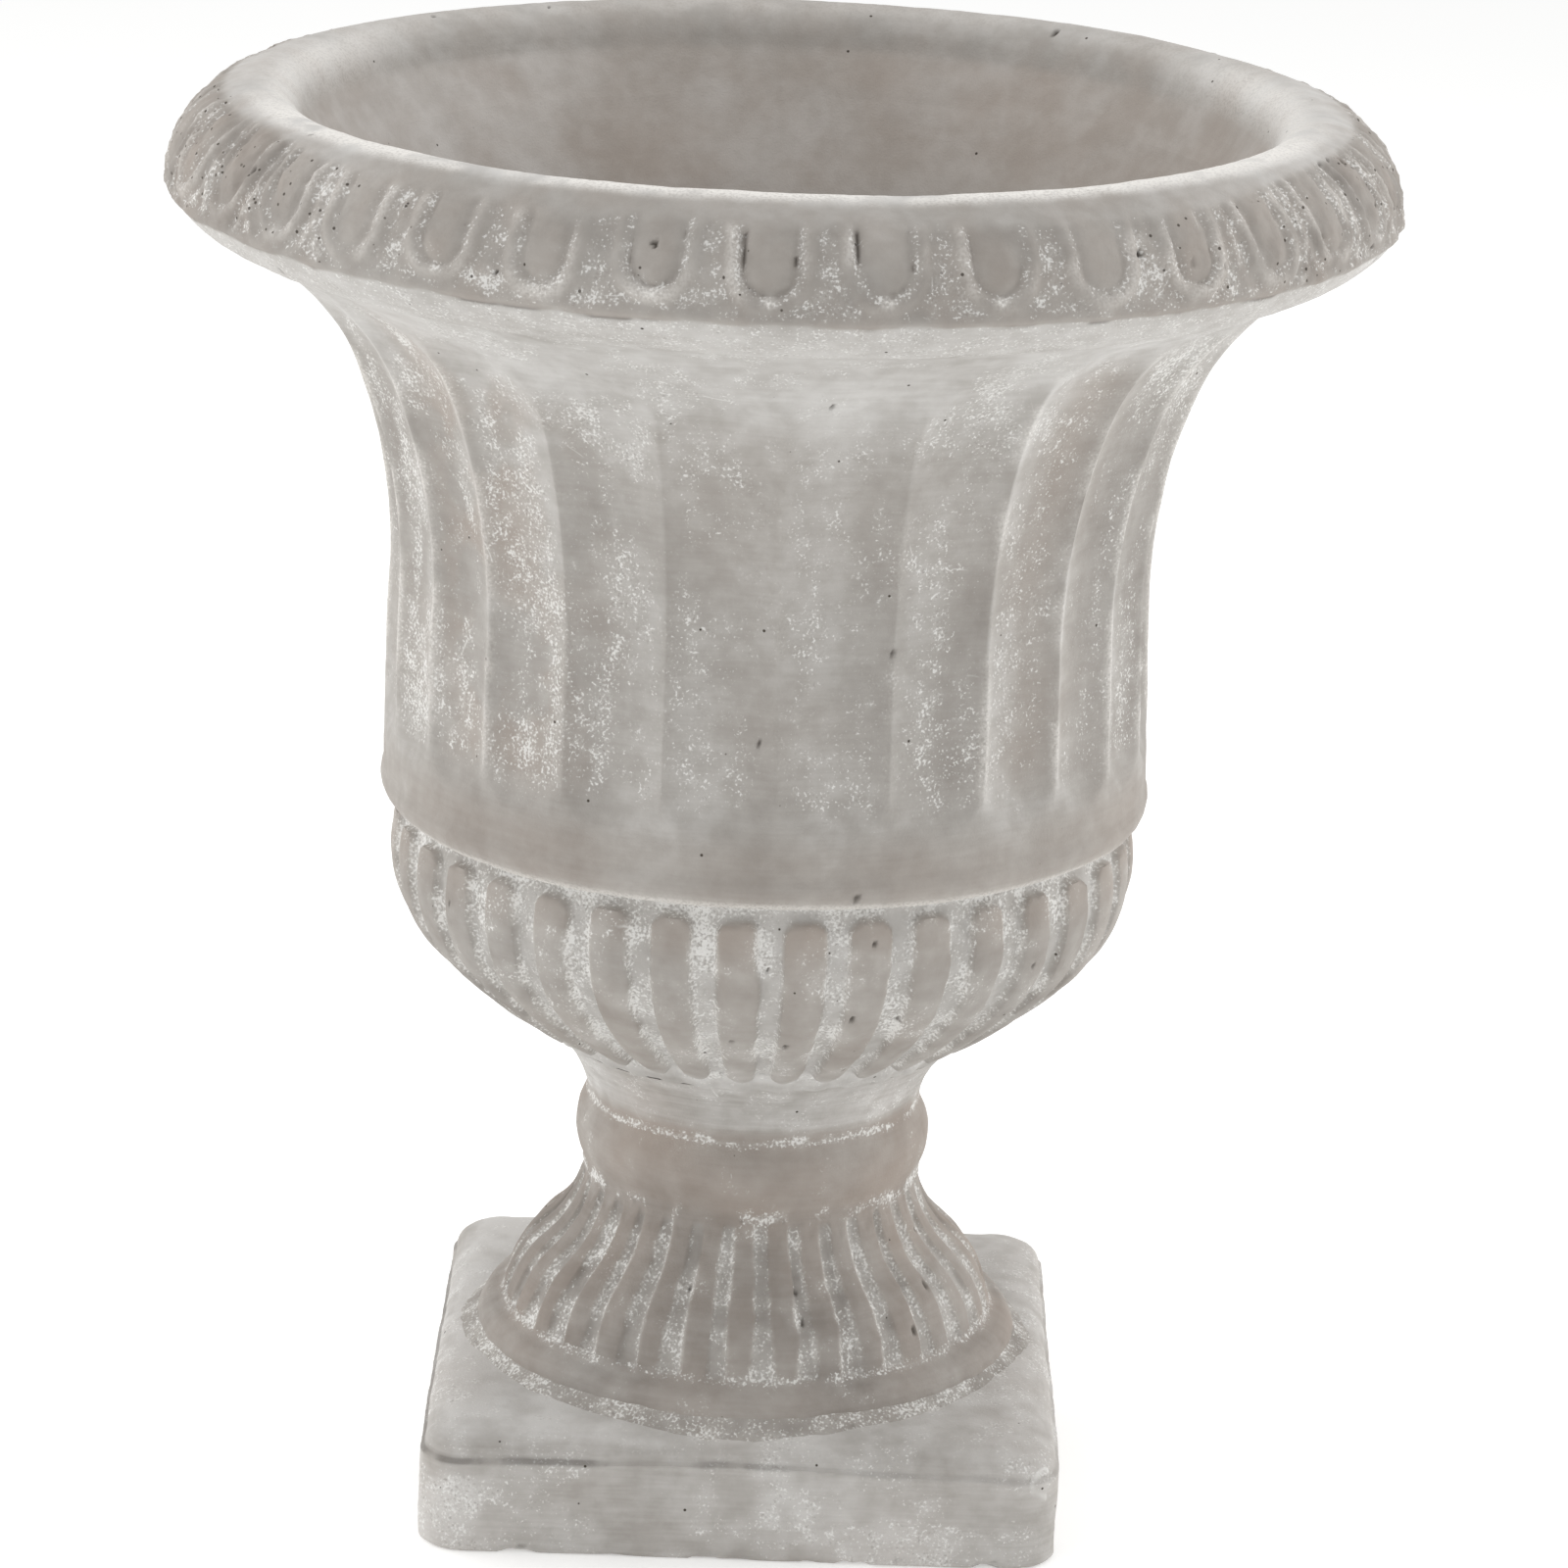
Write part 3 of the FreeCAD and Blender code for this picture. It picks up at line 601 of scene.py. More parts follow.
@dataclass
class FlutedDrum:
    """Drum and flare with shallow flutes that meet in thin arrises.

    The flutes are plainer at the front than at the sides, where their heads also reach higher.
    """

    section: BowlSection
    columns: int = 840
    rows: int = 112
    flutes: int = 24
    first_arris: float = 1.5
    wander: float = 1.9
    foot_z: float = 184.0
    foot_run: float = 11.0
    head_z: float = 262.0
    head_run: float = 16.0
    side_rise: float = 9.0
    front_depth: float = 1.9
    side_depth: float = 2.5
    arris_width: float = 1.5
    arris_height: float = 0.3
    hole_depth: float = 0.8
    foot_fade: tuple[float, float] = (174.0, 186.0)
    head_fade: tuple[float, float] = (262.0, 276.0)
    seam_line_z: float = 158.3
    heap_z: float = 189.0
    flare_z: tuple[float, float] = (252.0, 276.0)
    band_z: tuple[float, float] = (168.0, 178.0)
    left_side: tuple[float, float] = (-28.0, -54.0)
    right_side: tuple[float, float] = (12.0, 40.0)
    stain_angle: float = 43.0
    streak_mm: tuple[float, float, float] = (4.5, 4.5, 22.0)
    sheet_mm: tuple[float, float, float] = (13.0, 13.0, 90.0)
    wash_at: tuple[tuple[float, float], ...] = (
        (-180, 0.5), (-90, 0.6), (-62, 0.8), (-28, 0.7), (-12, 0.4), (0, 0.3), (8, 0.5), (16, 0.3), (28, 0.6),
        (35, 0.5), (42, 0.2), (50, 0.3), (65, 0.4), (90, 0.5), (180, 0.5))
    fine_mm: float = 2.4
    coarse_mm: float = 11.0
    broad_mm: float = 40.0

    def build(self) -> bpy.types.Object:
        """Grid of the drum; a flute is hollow by depth(1 - c² - e²), c across it and e past its ends.

        Returns:
            The drum piece.
        """
        shown = spaced(self.section.drum(), self.rows)
        ring = RingSurface(shown, self.section.mid_wall()[:5], self.columns)
        points = ring.points()
        fine = rough_field(points, self.fine_mm, seed=21)
        coarse = rough_field(points, self.coarse_mm, seed=23)
        broad = rough_field(points, self.broad_mm, seed=25, octaves=2)
        streak = rough_field(points, np.array(self.streak_mm), seed=27)
        sheets = rough_field(points, np.array(self.sheet_mm), seed=29, octaves=2)
        left = ease(*self.left_side, ring.degrees)
        side = np.where(ring.degrees < 0.0, left, ease(*self.right_side, ring.degrees))

        # Place in the flute: part runs from arris to arris, past beyond its foot or head
        pitch = 360.0 / self.flutes
        bent = ring.degrees - self.wander * np.sin(np.radians(3.0 * ring.degrees + 6.0)) + 0.35 * broad
        phase = (bent - self.first_arris) / pitch
        part = phase - np.floor(phase)
        index = np.floor(phase).astype(int) % self.flutes
        past = np.maximum(self.foot_z - ring.z, 0.0) / self.foot_run
        past = past + np.maximum(ring.z - self.head_z - self.side_rise * side, 0.0) / self.head_run
        from_arris = np.minimum(part, 1.0 - part) * np.radians(pitch) * ring.r

        # Relief
        hollow = np.maximum(1.0 - (2.0 * part - 1.0) ** 2 - past**2, 0.0)
        depth = np.random.default_rng(24).uniform(0.85, 1.15, self.flutes)[index]
        depth = depth * (self.front_depth + (self.side_depth - self.front_depth) * side)
        fluted = ease(*self.foot_fade, ring.z) * (1.0 - ease(*self.head_fade, ring.z - self.side_rise * side))
        arris = hump(from_arris, self.arris_width) * fluted * (0.15 + 0.85 * side)
        holes = bug_holes(ring, count=16, seed=13, span=(0.04, 0.95))
        shift = self.arris_height * arris - depth * hollow - self.hole_depth * holes
        shift += 0.35 * broad + 0.14 * coarse + 0.04 * fine
        shift *= ease(0.0, 2.0, ring.along) * ease(0.0, 4.0, ring.along[-1] - ring.along)

        # Weathering, with painted light and shade across the flutes
        flare = ease(*self.flare_z, ring.z)
        band = 1.0 - ease(*self.band_z, ring.z)
        zone = np.interp(ring.degrees, *np.transpose(self.wash_at))
        heap = zone * hump(ring.z - self.heap_z, 9.0) * ease(0.3, 0.8, hollow)
        wash = 0.44 * zone * fluted * ease(-0.4, 0.7, streak + 0.35 * fine)
        wash = wash * ease(0.05, 0.6, hollow + 0.2 * coarse)
        wash += 0.10 * fluted + 0.08 * coarse + 0.14 * heap
        brown = 1.4 * hump(ring.degrees + self.stain_angle, 14.0) * ease(-0.2, 0.5, coarse + 0.6 * broad)
        brown = brown + 0.8 * hump(ring.degrees - self.stain_angle, 7.0)
        # Painted light and shade across the flutes: one wall of each flute lighter and the other darker,
        # strongest on the right and mirrored at half strength on the left, with thin painted dark lines at
        # the front arrises.
        painted_flute_shading = (1.0 - 2.0 * part) * np.clip(ring.degrees / 35.0, -0.5, 1.0) * fluted
        painted_flute_shading = painted_flute_shading - 0.9 * hump(from_arris, 1.6) * fluted * (1.0 - side) * ease(-0.6, 0.3, coarse)
        tone = 0.52 + 0.27 * flare - 0.13 * band + 0.06 * broad + 0.04 * streak + 0.10 * sheets
        warm = 0.6 * brown * fluted * (0.4 + 0.6 * hollow) + 0.15 * ease(0.2, 0.9, broad) + 0.3 * band
        tints = {
            # Painted shade: the flute hollows are darker towards the sides.
            Tint.TONE: tone - 0.10 * side * hollow * fluted + 0.13 * painted_flute_shading,
            Tint.WASH: wash + 0.24 * flare * ease(-0.3, 0.6, coarse + 0.3 * streak),
            Tint.WARM: warm,
            # Pale arrises: rubbed limewash, with a painted highlight that grows towards the sides.
            Tint.WORN_AND_HIGHLIGHT: 0.55 * arris * ease(-0.7, 0.3, coarse) + 0.7 * hump(ring.z - self.seam_line_z, 1.2),
            Tint.PITS_AND_SHADE: 0.7 * holes,
            Tint.BRUSH: 0.25 + 0.1 * flare,
        }
        return ring.make("bowl_drum", shift, tints)


@dataclass
class GadroonedCalyx:
    """Underside of the bowl: tongues with rounded ends, and rough channels between them.

    Shares across a channel and the tongue beside it are parts of the pitch.
    """

    section: BowlSection
    columns: int = 1152
    rows: int = 80
    channels: int = 36
    first_channel: float = 2.0
    channel_share: float = 0.19
    channel_edge: tuple[float, float] = (0.035, 0.045)
    channel_depth: float = 1.5
    tongue_crown: float = 0.55
    tongue_top_z: float = 154.6
    tongue_foot_z: float = 107.5
    top_round: float = 2.2
    foot_round: float = 2.0
    base_fade: tuple[float, float] = (105.0, 107.0)
    hole_depth: float = 0.8
    low_end_z: tuple[float, float] = (106.5, 111.0)
    warm_z: tuple[float, float] = (142.0, 152.0)
    seam_wash_z: tuple[float, float] = (154.5, 157.0)
    pitted_z: tuple[float, float] = (113.0, 108.0)
    fine_mm: float = 1.8
    coarse_mm: float = 6.0
    broad_mm: float = 30.0

    def build(self) -> bpy.types.Object:
        """Grid of the calyx; outside the tongues' ragged outline the surface steps back by the depth.

        Returns:
            The calyx piece.
        """
        shown = spaced(self.section.calyx(), self.rows)
        ring = RingSurface(shown, self.section.mid_wall()[4:], self.columns)
        points = ring.points()
        fine = rough_field(points, self.fine_mm, seed=41)
        coarse = rough_field(points, self.coarse_mm, seed=43)
        broad = rough_field(points, self.broad_mm, seed=45, octaves=2)

        # Place across the channel and the tongue beside it
        index, angle = ring.repeat(self.channels, self.first_channel)
        pitch = 360.0 / self.channels
        share = np.abs(angle + 0.25 * coarse) / pitch
        uneven = np.random.default_rng(5).normal(size=self.channels)[index]
        half = self.channel_share + 0.02 * coarse + 0.02 * uneven
        across = np.clip((0.5 - share) / (0.5 - half), 0.0, 1.0)
        top = self.tongue_top_z - self.top_round * across**4 + 0.6 * coarse
        foot = self.tongue_foot_z + self.foot_round * across**2 + 0.6 * coarse

        # Relief
        channel = 1.0 - ease(half - self.channel_edge[0], half + self.channel_edge[1], share)
        past_end = np.maximum(ease(-0.6, 0.7, ring.z - top), ease(-0.6, 0.7, foot - ring.z))
        recess = np.maximum(channel, past_end) * ease(*self.base_fade, ring.z)
        flank = hump(share - half, self.channel_edge[1]) * (1.0 - past_end)
        holes = bug_holes(ring, count=30, seed=17, span=(0.1, 0.95))
        shift = self.tongue_crown * (1.0 - across**2) * (1.0 - recess)
        shift -= recess * (self.channel_depth + 0.3 * fine) + self.hole_depth * holes
        shift += 0.3 * broad + 0.12 * coarse + 0.04 * fine
        shift *= ease(0.0, 1.2, ring.along[-1] - ring.along)

        # Weathering
        low_end = 1.0 - ease(*self.low_end_z, ring.z)
        wash = recess * (0.30 + 0.25 * coarse) + 0.25 * flank + 0.08 + 0.16 * coarse
        warm = (0.22 + 0.35 * ease(*self.warm_z, ring.z) + 0.25 * broad) * (1.0 - recess) * (1.0 - low_end)
        pits = 0.3 * ease(0.35, 0.8, fine) * recess * ease(*self.pitted_z, ring.z)
        tints = {
            Tint.TONE: 0.45 + 0.10 * broad + 0.14 * coarse * (1.0 - recess) + 0.25 * recess + 0.28 * low_end,
            Tint.WASH: wash + 0.2 * ease(*self.seam_wash_z, ring.z),
            Tint.WARM: warm,
            Tint.WORN_AND_HIGHLIGHT: 0.32 * flank * ease(-0.6, 0.4, coarse),
            Tint.PITS_AND_SHADE: np.maximum(0.7 * holes, pits),
            Tint.BRUSH: np.full_like(wash, 0.15),
        }
        return ring.make("bowl_calyx", shift, tints)


@dataclass
class BowlInside:
    """Smooth inside of the bowl, its floor pocket and the bore for the tie tube."""

    section: BowlSection
    columns: int = 420
    rows: int = 150
    smooth_reach: tuple[float, float] = (2.0, 8.0)
    hole_depth: float = 0.6
    coarse_mm: float = 14.0
    broad_mm: float = 45.0
    fine_mm: float = 3.0
    streak_mm: tuple[float, float, float] = (9.0, 9.0, 60.0)
    pale_x: tuple[float, float] = (-20.0, -80.0)

    @classmethod
    def weathering(cls, points: Array) -> tuple[Array, Array]:
        """Tone and warmth of the inner wall; the rim's share of the wall uses them as well.

        Args:
            points: Places in millimetres.

        Returns:
            The two numbers for each place.
        """
        slow = rough_field(points, cls.broad_mm, seed=63, octaves=2)
        streak = rough_field(points, np.array(cls.streak_mm), seed=67)
        west = ease(*cls.pale_x, points[..., 0])
        return 0.58 + 0.07 * slow + 0.04 * streak + 0.16 * west, 0.7 + 0.25 * slow

    def build(self) -> bpy.types.Object:
        """Grid of the inside with hand-smoothed waves; the floor's sharp corners keep their rows.

        Returns:
            The inside piece.
        """
        path = self.section.inside()
        shown = np.vstack([spaced(path[:-3], self.rows), path[-3:]])
        ring = RingSurface(shown, self.section.mid_wall()[::-1], self.columns)
        points = ring.points()
        coarse = rough_field(points, self.coarse_mm, seed=61)
        broad = rough_field(points, self.broad_mm, seed=63, octaves=2)
        fine = rough_field(points, self.fine_mm, seed=65)
        tone, warm = self.weathering(points)
        wall = ease(*self.smooth_reach, ring.r - self.section.pocket_r)
        holes = bug_holes(ring, count=22, seed=19, span=(0.02, 0.7)) * wall
        shift = 0.4 * broad + 0.12 * coarse + 0.03 * fine - self.hole_depth * holes
        shift *= wall * ease(0.0, 3.0, ring.along)
        tints = {
            Tint.TONE: tone,
            Tint.WARM: warm,
            Tint.PITS_AND_SHADE: 0.6 * holes,
            Tint.BRUSH: np.full_like(coarse, 0.1),
        }
        return ring.make("bowl_inside", shift, tints)


@dataclass
class TurnedFoot:
    """Foot: round base moulding, trumpet with channels, bead and plain cove.

    Shares across a channel and the rib beside it are parts of the pitch.
    """

    base_r: float = 62.2
    base_z: float = 28.0
    moulding_top: tuple[float, float] = (57.4, 36.0)
    moulding_sag: float = 2.3
    trumpet_base_r: float = 56.6
    trumpet_lean: float = -8.0
    waist: tuple[float, float] = (47.5, 52.5)
    neck: tuple[float, float] = (38.1, 70.5)
    bead_top: tuple[float, float] = (38.1, 87.0)
    bead_sag: float = 2.7
    top: tuple[float, float] = (47.5, 103.5)
    cove_sag: float = -1.8
    bore_r: float = 11.5
    columns: int = 825
    rows: int = 92
    channels: int = 33
    first_channel: float = 4.5
    channel_share: float = 0.17
    channel_edge: tuple[float, float] = (0.05, 0.06)
    channel_depth: float = 0.85
    channel_foot_z: tuple[float, float] = (37.0, 38.2)
    channel_head_z: float = 67.5
    head_round: float = 14.0
    widen_z: tuple[float, float] = (50.0, 38.0)
    rib_crown: float = 0.3
    hole_depth: float = 0.6
    crease_ease: float = 2.4
    base_fade: tuple[float, float] = (36.0, 38.0)
    base_line_z: float = 37.2
    scallop_z: float = 69.2
    scallop_height: float = 0.35
    bead_fade: tuple[float, float] = (69.0, 72.0)
    joint_z: float = 87.4
    cove_fade: tuple[float, float] = (88.0, 92.0)
    dark_side: tuple[float, float] = (-10.0, -60.0)
    fine_mm: float = 1.6
    coarse_mm: float = 5.5
    broad_mm: float = 24.0

    def surface(self) -> RingSurface:
        """Outside of the foot from the mortar to the bowl, closed along the bore."""
        pen = SectionPen(self.base_r, self.base_z).bow_to(*self.moulding_top, self.moulding_sag)
        pen.line_to(self.trumpet_base_r, self.moulding_top[1])
        pen.heading = self.trumpet_lean
        pen.curve_to(*self.waist).curve_to(*self.neck)
        path = pen.bow_to(*self.bead_top, self.bead_sag).bow_to(*self.top, self.cove_sag).path
        hidden = np.array([(self.bore_r, self.top[1]), (self.bore_r, self.base_z)])
        return RingSurface(spaced(eased(path, self.crease_ease), self.rows), hidden, self.columns)

    def build(self) -> bpy.types.Object:
        """Grid of the foot; a channel steps back between two ragged edges and ends rounded.

        Returns:
            The foot piece.
        """
        ring = self.surface()
        points = ring.points()
        fine = rough_field(points, self.fine_mm, seed=81)
        coarse = rough_field(points, self.coarse_mm, seed=83)
        broad = rough_field(points, self.broad_mm, seed=85, octaves=2)

        # Place across the channel and the rib beside it
        index, angle = ring.repeat(self.channels, self.first_channel)
        pitch = 360.0 / self.channels
        share = np.abs(angle + 0.3 * coarse) / pitch
        uneven = np.random.default_rng(33).normal(size=self.channels)[index]
        half = self.channel_share * (1.0 + 0.25 * ease(*self.widen_z, ring.z)) + 0.02 * coarse
        half = half + 0.025 * uneven
        across = np.clip((0.5 - share) / (0.5 - half), 0.0, 1.0)

        # Relief
        channel = 1.0 - ease(half - self.channel_edge[0], half + self.channel_edge[1], share)
        head = self.channel_head_z - self.head_round * share**2 + 0.8 * coarse
        tongue = ease(*self.channel_foot_z, ring.z) * (1.0 - ease(-1.2, 1.2, ring.z - head))
        recess = channel * tongue
        flank = hump(share - half, self.channel_edge[1]) * tongue
        crown = (1.0 - across**2) * (1.0 - channel) * tongue
        holes = bug_holes(ring, count=12, seed=23, span=(0.14, 0.5))
        scallop = hump(ring.z - self.scallop_z - 0.8 * coarse, 1.5) * ease(-0.5, 0.4, coarse)
        shift = self.rib_crown * crown - recess * (self.channel_depth + 0.25 * fine) + 0.1 * flank
        shift += 0.25 * broad + 0.12 * coarse + 0.04 * fine - self.hole_depth * holes
        shift *= ease(0.0, 1.5, ring.along)
        shift += self.scallop_height * scallop * (1.0 + fine)

        # Weathering, with painted shade on the trumpet's left side
        cove = ease(*self.cove_fade, ring.z)
        bead = ease(*self.bead_fade, ring.z) * (1.0 - cove)
        base = 1.0 - ease(*self.base_fade, ring.z)
        joint = hump(ring.z - self.joint_z - 0.7 * coarse, 0.8)
        # Painted shade: the trumpet's tongues are darker on the left side.
        left = ease(*self.dark_side, ring.degrees) * tongue
        wash = recess * (0.24 + 0.18 * coarse) + 0.2 * flank + 0.16 * coarse + 0.12 * cove
        wash += 0.5 * hump(ring.z - self.base_line_z, 0.8) + 0.7 * scallop + 0.7 * joint
        tone = 0.24 + 0.10 * broad + 0.12 * coarse + 0.22 * recess
        tone += 0.50 * cove + 0.13 * bead + 0.07 * base - 0.18 * left
        tints = {
            Tint.TONE: tone,
            Tint.WASH: wash,
            Tint.WARM: 0.4 + 0.4 * broad + 0.3 * bead - 0.4 * recess - 0.3 * cove,
            Tint.WORN_AND_HIGHLIGHT: 0.26 * flank * ease(-0.6, 0.4, coarse),
            Tint.PITS_AND_SHADE: np.maximum(0.7 * holes, 0.6 * ease(0.7, 1.0, fine) * scallop),
            Tint.BRUSH: 0.3 + 0.3 * cove,
        }
        return ring.make("foot", shift, tints)


@dataclass
class MortarSkirt:
    """Mortar bed under the foot, squeezed out in a low trowelled skirt."""

    inner_r: float = 15.5
    outer_r: float = 69.0
    foot_r: float = 61.9
    edge_z: float = 25.5
    base_z: float = 28.5
    thickness: float = 1.5
    edge_slope: tuple[float, float] = (3.2, 0.7)
    fillet: float = 2.8
    fillet_middle: tuple[float, float] = (1.6, 0.4)
    corner_ease: float = 1.0
    columns: int = 720
    rows: int = 22
    fine_mm: float = 1.8
    coarse_mm: float = 7.0

    def build(self) -> bpy.types.Object:
        """Ring with a sloping outer edge whose reach and height wander round the foot.

        Returns:
            The skirt piece.
        """
        path = np.array([
            (self.outer_r, self.edge_z),
            (self.outer_r - self.edge_slope[0], self.base_z - self.edge_slope[1]),
            (self.foot_r + self.fillet_middle[0], self.base_z + self.fillet_middle[1] * self.fillet),
            (self.foot_r, self.base_z + self.fillet),
        ])
        hidden = np.array([(self.inner_r, self.base_z + self.thickness), (self.inner_r, self.base_z)])
        ring = RingSurface(spaced(eased(path, self.corner_ease), self.rows), hidden, self.columns)
        points = ring.points()
        fine = rough_field(points, self.fine_mm, seed=101)
        coarse = rough_field(points, self.coarse_mm, seed=103)
        shift = 0.14 * coarse + 0.06 * fine
        out = ease(self.foot_r + 2.0, self.outer_r, ring.r)
        tints = {
            Tint.TONE: 0.32 + 0.12 * coarse + 0.30 * out,
            Tint.WASH: 0.4 - 0.2 * out + 0.25 * coarse,
            Tint.WARM: 0.25 + 0.25 * coarse,
            Tint.PITS_AND_SHADE: 0.3 * ease(0.9, 1.2, fine),
            Tint.BRUSH: np.full_like(fine, 0.1),
        }
        return ring.make("mortar_skirt", shift, tints)


@dataclass
class SquarePlinth:
    """Rounded square slab with a weathered shoulder, a wavy crease and a chipped lower edge; its top is
    painted lighter and its crease darker, as painted light and shade.
    """

    half: float = 71.7
    corner_r: float = 10.0
    corner_taper: float = 0.6
    face_z: float = 22.5
    top_z: float = 28.5
    top_edge: tuple[float, float] = (3.5, 0.4)
    crease: float = 0.8
    crease_reach: float = 3.0
    crease_drop: float = 1.2
    crease_bow: float = 2.0
    bow_x: float = -10.0
    bow_reach: float = 34.0
    shoulder: tuple[float, float] = (13.0, 5.4)
    shoulder_z: tuple[float, float] = (22.8, 24.0)
    chamfer: float = 1.0
    chip_z: tuple[float, float] = (1.0, 4.5)
    chip_depth: float = 0.9
    bore_r: float = 11.5
    recess_r: float = 23.0
    recess_z: float = 15.0
    underside: tuple[float, float] = (45.0, 20.0)
    bed_r: tuple[float, float] = (56.0, 62.0)
    pale_x: tuple[float, float] = (10.0, -50.0)
    dark_crease_x: tuple[float, float] = (30.0, -15.0)
    side_columns: int = 124
    corner_columns: int = 36
    flat_rows: int = 30
    shoulder_rows: int = 19
    fine_mm: float = 1.8
    coarse_mm: float = 7.0
    broad_mm: float = 34.0
    chip_mm: float = 8.0
    crease_mm: float = 26.0

    def rows(self) -> tuple[Array, int]:
        """Half width, corner radius and height of each row, and how many of them are seen."""
        arc = np.radians(np.linspace(0.0, 90.0, self.shoulder_rows))
        width, drop = self.shoulder
        upper = self.half - self.crease
        inset = width * (1.0 - np.cos(arc))
        rise = self.top_z - drop + drop * np.sin(arc)
        corner = (self.corner_r - self.crease) * (1.0 - self.corner_taper * inset / width)
        face = np.linspace(self.chamfer, self.face_z, self.flat_rows)
        top = np.linspace(0.0, 1.0, self.flat_rows)[1:]
        inner = upper - width
        shown = np.concatenate([
            [[self.half - self.chamfer, self.corner_r - self.chamfer, 0.0]],
            np.column_stack([np.full_like(face, self.half), np.full_like(face, self.corner_r), face]),
            np.column_stack([upper - inset, corner, rise]),
            np.column_stack([
                inner + (self.bore_r - inner) * top,
                corner[-1] * (1.0 - top) + self.bore_r * top,
                np.full_like(top, self.top_z),
            ]),
        ])
        hidden = np.array([
            (self.bore_r, self.bore_r, self.recess_z),
            (self.recess_r, self.recess_r, self.recess_z),
            (self.recess_r, self.recess_r, 0.0),
            (*self.underside, 0.0),
        ])
        return np.vstack([shown, hidden]), len(shown)

    def outline(self, half: Array, corner: Array) -> Array:
        """Rounded squares: a flat of 2(h - c), then a quarter circle of radius c, four times by 90° turns.

        Args:
            half: Half width of each row.
            corner: Corner radius of each row.

        Returns:
            Places x and y for every row and column.
        """
        step = self.side_columns + self.corner_columns
        column = np.arange(4 * step)
        local = column % step
        flat = np.minimum(local / self.side_columns, 1.0)
        swing = np.radians(np.maximum(local - self.side_columns, 0) / self.corner_columns * 90.0)
        reach = half - corner
        x = -reach + 2.0 * reach * flat + corner * np.sin(swing)
        y = -reach - corner * np.cos(swing)
        turn = (column // step) * (math.pi / 2.0)
        return np.stack([x * np.cos(turn) - y * np.sin(turn), x * np.sin(turn) + y * np.cos(turn)], axis=-1)

    def build(self) -> bpy.types.Object:
        """Grid of rounded squares, pushed along the grid's own normals by wear and trowel waves.

        Returns:
            The plinth piece.
        """
        table, seen = self.rows()
        flat = self.outline(table[:, :1], table[:, 1:2])
        height = np.broadcast_to(table[:, 2:], flat.shape[:2])
        points = np.concatenate([flat, height[..., None]], axis=-1)
        round_step = np.roll(points, -1, axis=1) - np.roll(points, 1, axis=1)
        up_step = np.roll(points, -1, axis=0) - np.roll(points, 1, axis=0)
        normal = np.cross(round_step, up_step)
        normal /= np.linalg.norm(normal, axis=-1, keepdims=True) + 1e-9

        # Relief; the bed's place and the hidden rows stay as they are
        fine = rough_field(points, self.fine_mm, seed=121)
        coarse = rough_field(points, self.coarse_mm, seed=123)
        broad = rough_field(points, self.broad_mm, seed=125, octaves=2)
        chips = ease(0.15, 0.7, rough_field(points, self.chip_mm, seed=127))
        chips = chips * (1.0 - ease(*self.chip_z, height))
        free = ease(*self.bed_r, np.hypot(points[..., 0], points[..., 1]))
        free = (np.arange(len(table)) < seen)[:, None] * free
        shift = 0.35 * broad + 0.16 * coarse + 0.05 * fine - self.chip_depth * chips
        points = points + normal * (shift * free)[..., None]
        wave = rough_field(points, self.crease_mm, seed=129, octaves=2) - self.crease_drop
        wave += self.crease_bow * hump(points[..., 0] - self.bow_x, self.bow_reach)
        points[..., 2] += wave * hump(height - self.face_z, self.crease_reach) * free
        points[..., 2] = np.maximum(points[..., 2], 0.0)

        # Weathering, with painted light on the top and painted shade along the crease
        top = ease(self.top_z - self.top_edge[0], self.top_z - self.top_edge[1], height)
        shoulder = ease(*self.shoulder_z, height) * (1.0 - top)
        west = ease(*self.pale_x, points[..., 0])
        patch = ease(-0.1, 0.6, broad + 0.4 * coarse) * (1.0 - 0.6 * top)
        # Painted shade: a dark line along the crease under the shoulder, darker on the left.
        line = hump(height - self.face_z - 0.3, 0.7) * free * ease(-0.9, 0.1, broad + coarse)
        line = line * (0.15 + 0.4 * ease(*self.dark_crease_x, points[..., 0]))
        tone = 0.68 + 0.12 * broad + 0.10 * coarse + 0.10 * patch
        tints = {
            # Painted light: the top is lighter, most on the left, and the shoulder a touch lighter.
            Tint.TONE: tone + top * (0.13 + 0.19 * west) + 0.02 * shoulder,
            Tint.WASH: 0.08 + 0.16 * coarse + 0.2 * patch,
            Tint.WARM: 0.15 + 0.25 * broad,
            Tint.PITS_AND_SHADE: np.maximum(line, 0.5 * ease(0.5, 0.95, fine) * chips),
            Tint.BRUSH: np.full_like(fine, 0.4),
        }
        return grid_object("plinth", points, tints)


def linear(code: str) -> tuple[float, float, float, float]:
    """Linear colour of an sRGB hex code: c / 12.92 for dark shares, else ((c + 0.055) / 1.055)^2.4."""
    shares = [int(code[start : start + 2], 16) / 255.0 for start in (1, 3, 5)]
    return (*(c / 12.92 if c <= 0.04045 else ((c + 0.055) / 1.055) ** 2.4 for c in shares), 1.0)


def empty_material(name: str) -> bpy.types.Material:
    """New material with an empty node tree."""
    material = bpy.data.materials.new(name)
    material.use_nodes = True
    material.node_tree.nodes.clear()
    return material


def add_node(
    tree: bpy.types.NodeTree, kind: str, inputs: dict | tuple = (), **settings: object
) -> bpy.types.Node:
    """Adds a shader node with its settings, and fills or links its inputs.

    Args:
        tree: Node tree of a material or world.
        kind: Node type without its prefix.
        inputs: Values, sockets to link or nodes whose first output is linked; in order, or by name or number.
        settings: Properties of the node.

    Returns:
        The new node.
    """
    node = tree.nodes.new("ShaderNode" + kind)
    for key, value in settings.items():
        setattr(node, key, value)
    for key, value in inputs.items() if isinstance(inputs, dict) else enumerate(inputs):
        if isinstance(value, bpy.types.Node):
            value = value.outputs[0]
        if isinstance(value, bpy.types.NodeSocket):
            tree.links.new(value, node.inputs[key])
        else:
            node.inputs[key].default_value = value
    return node


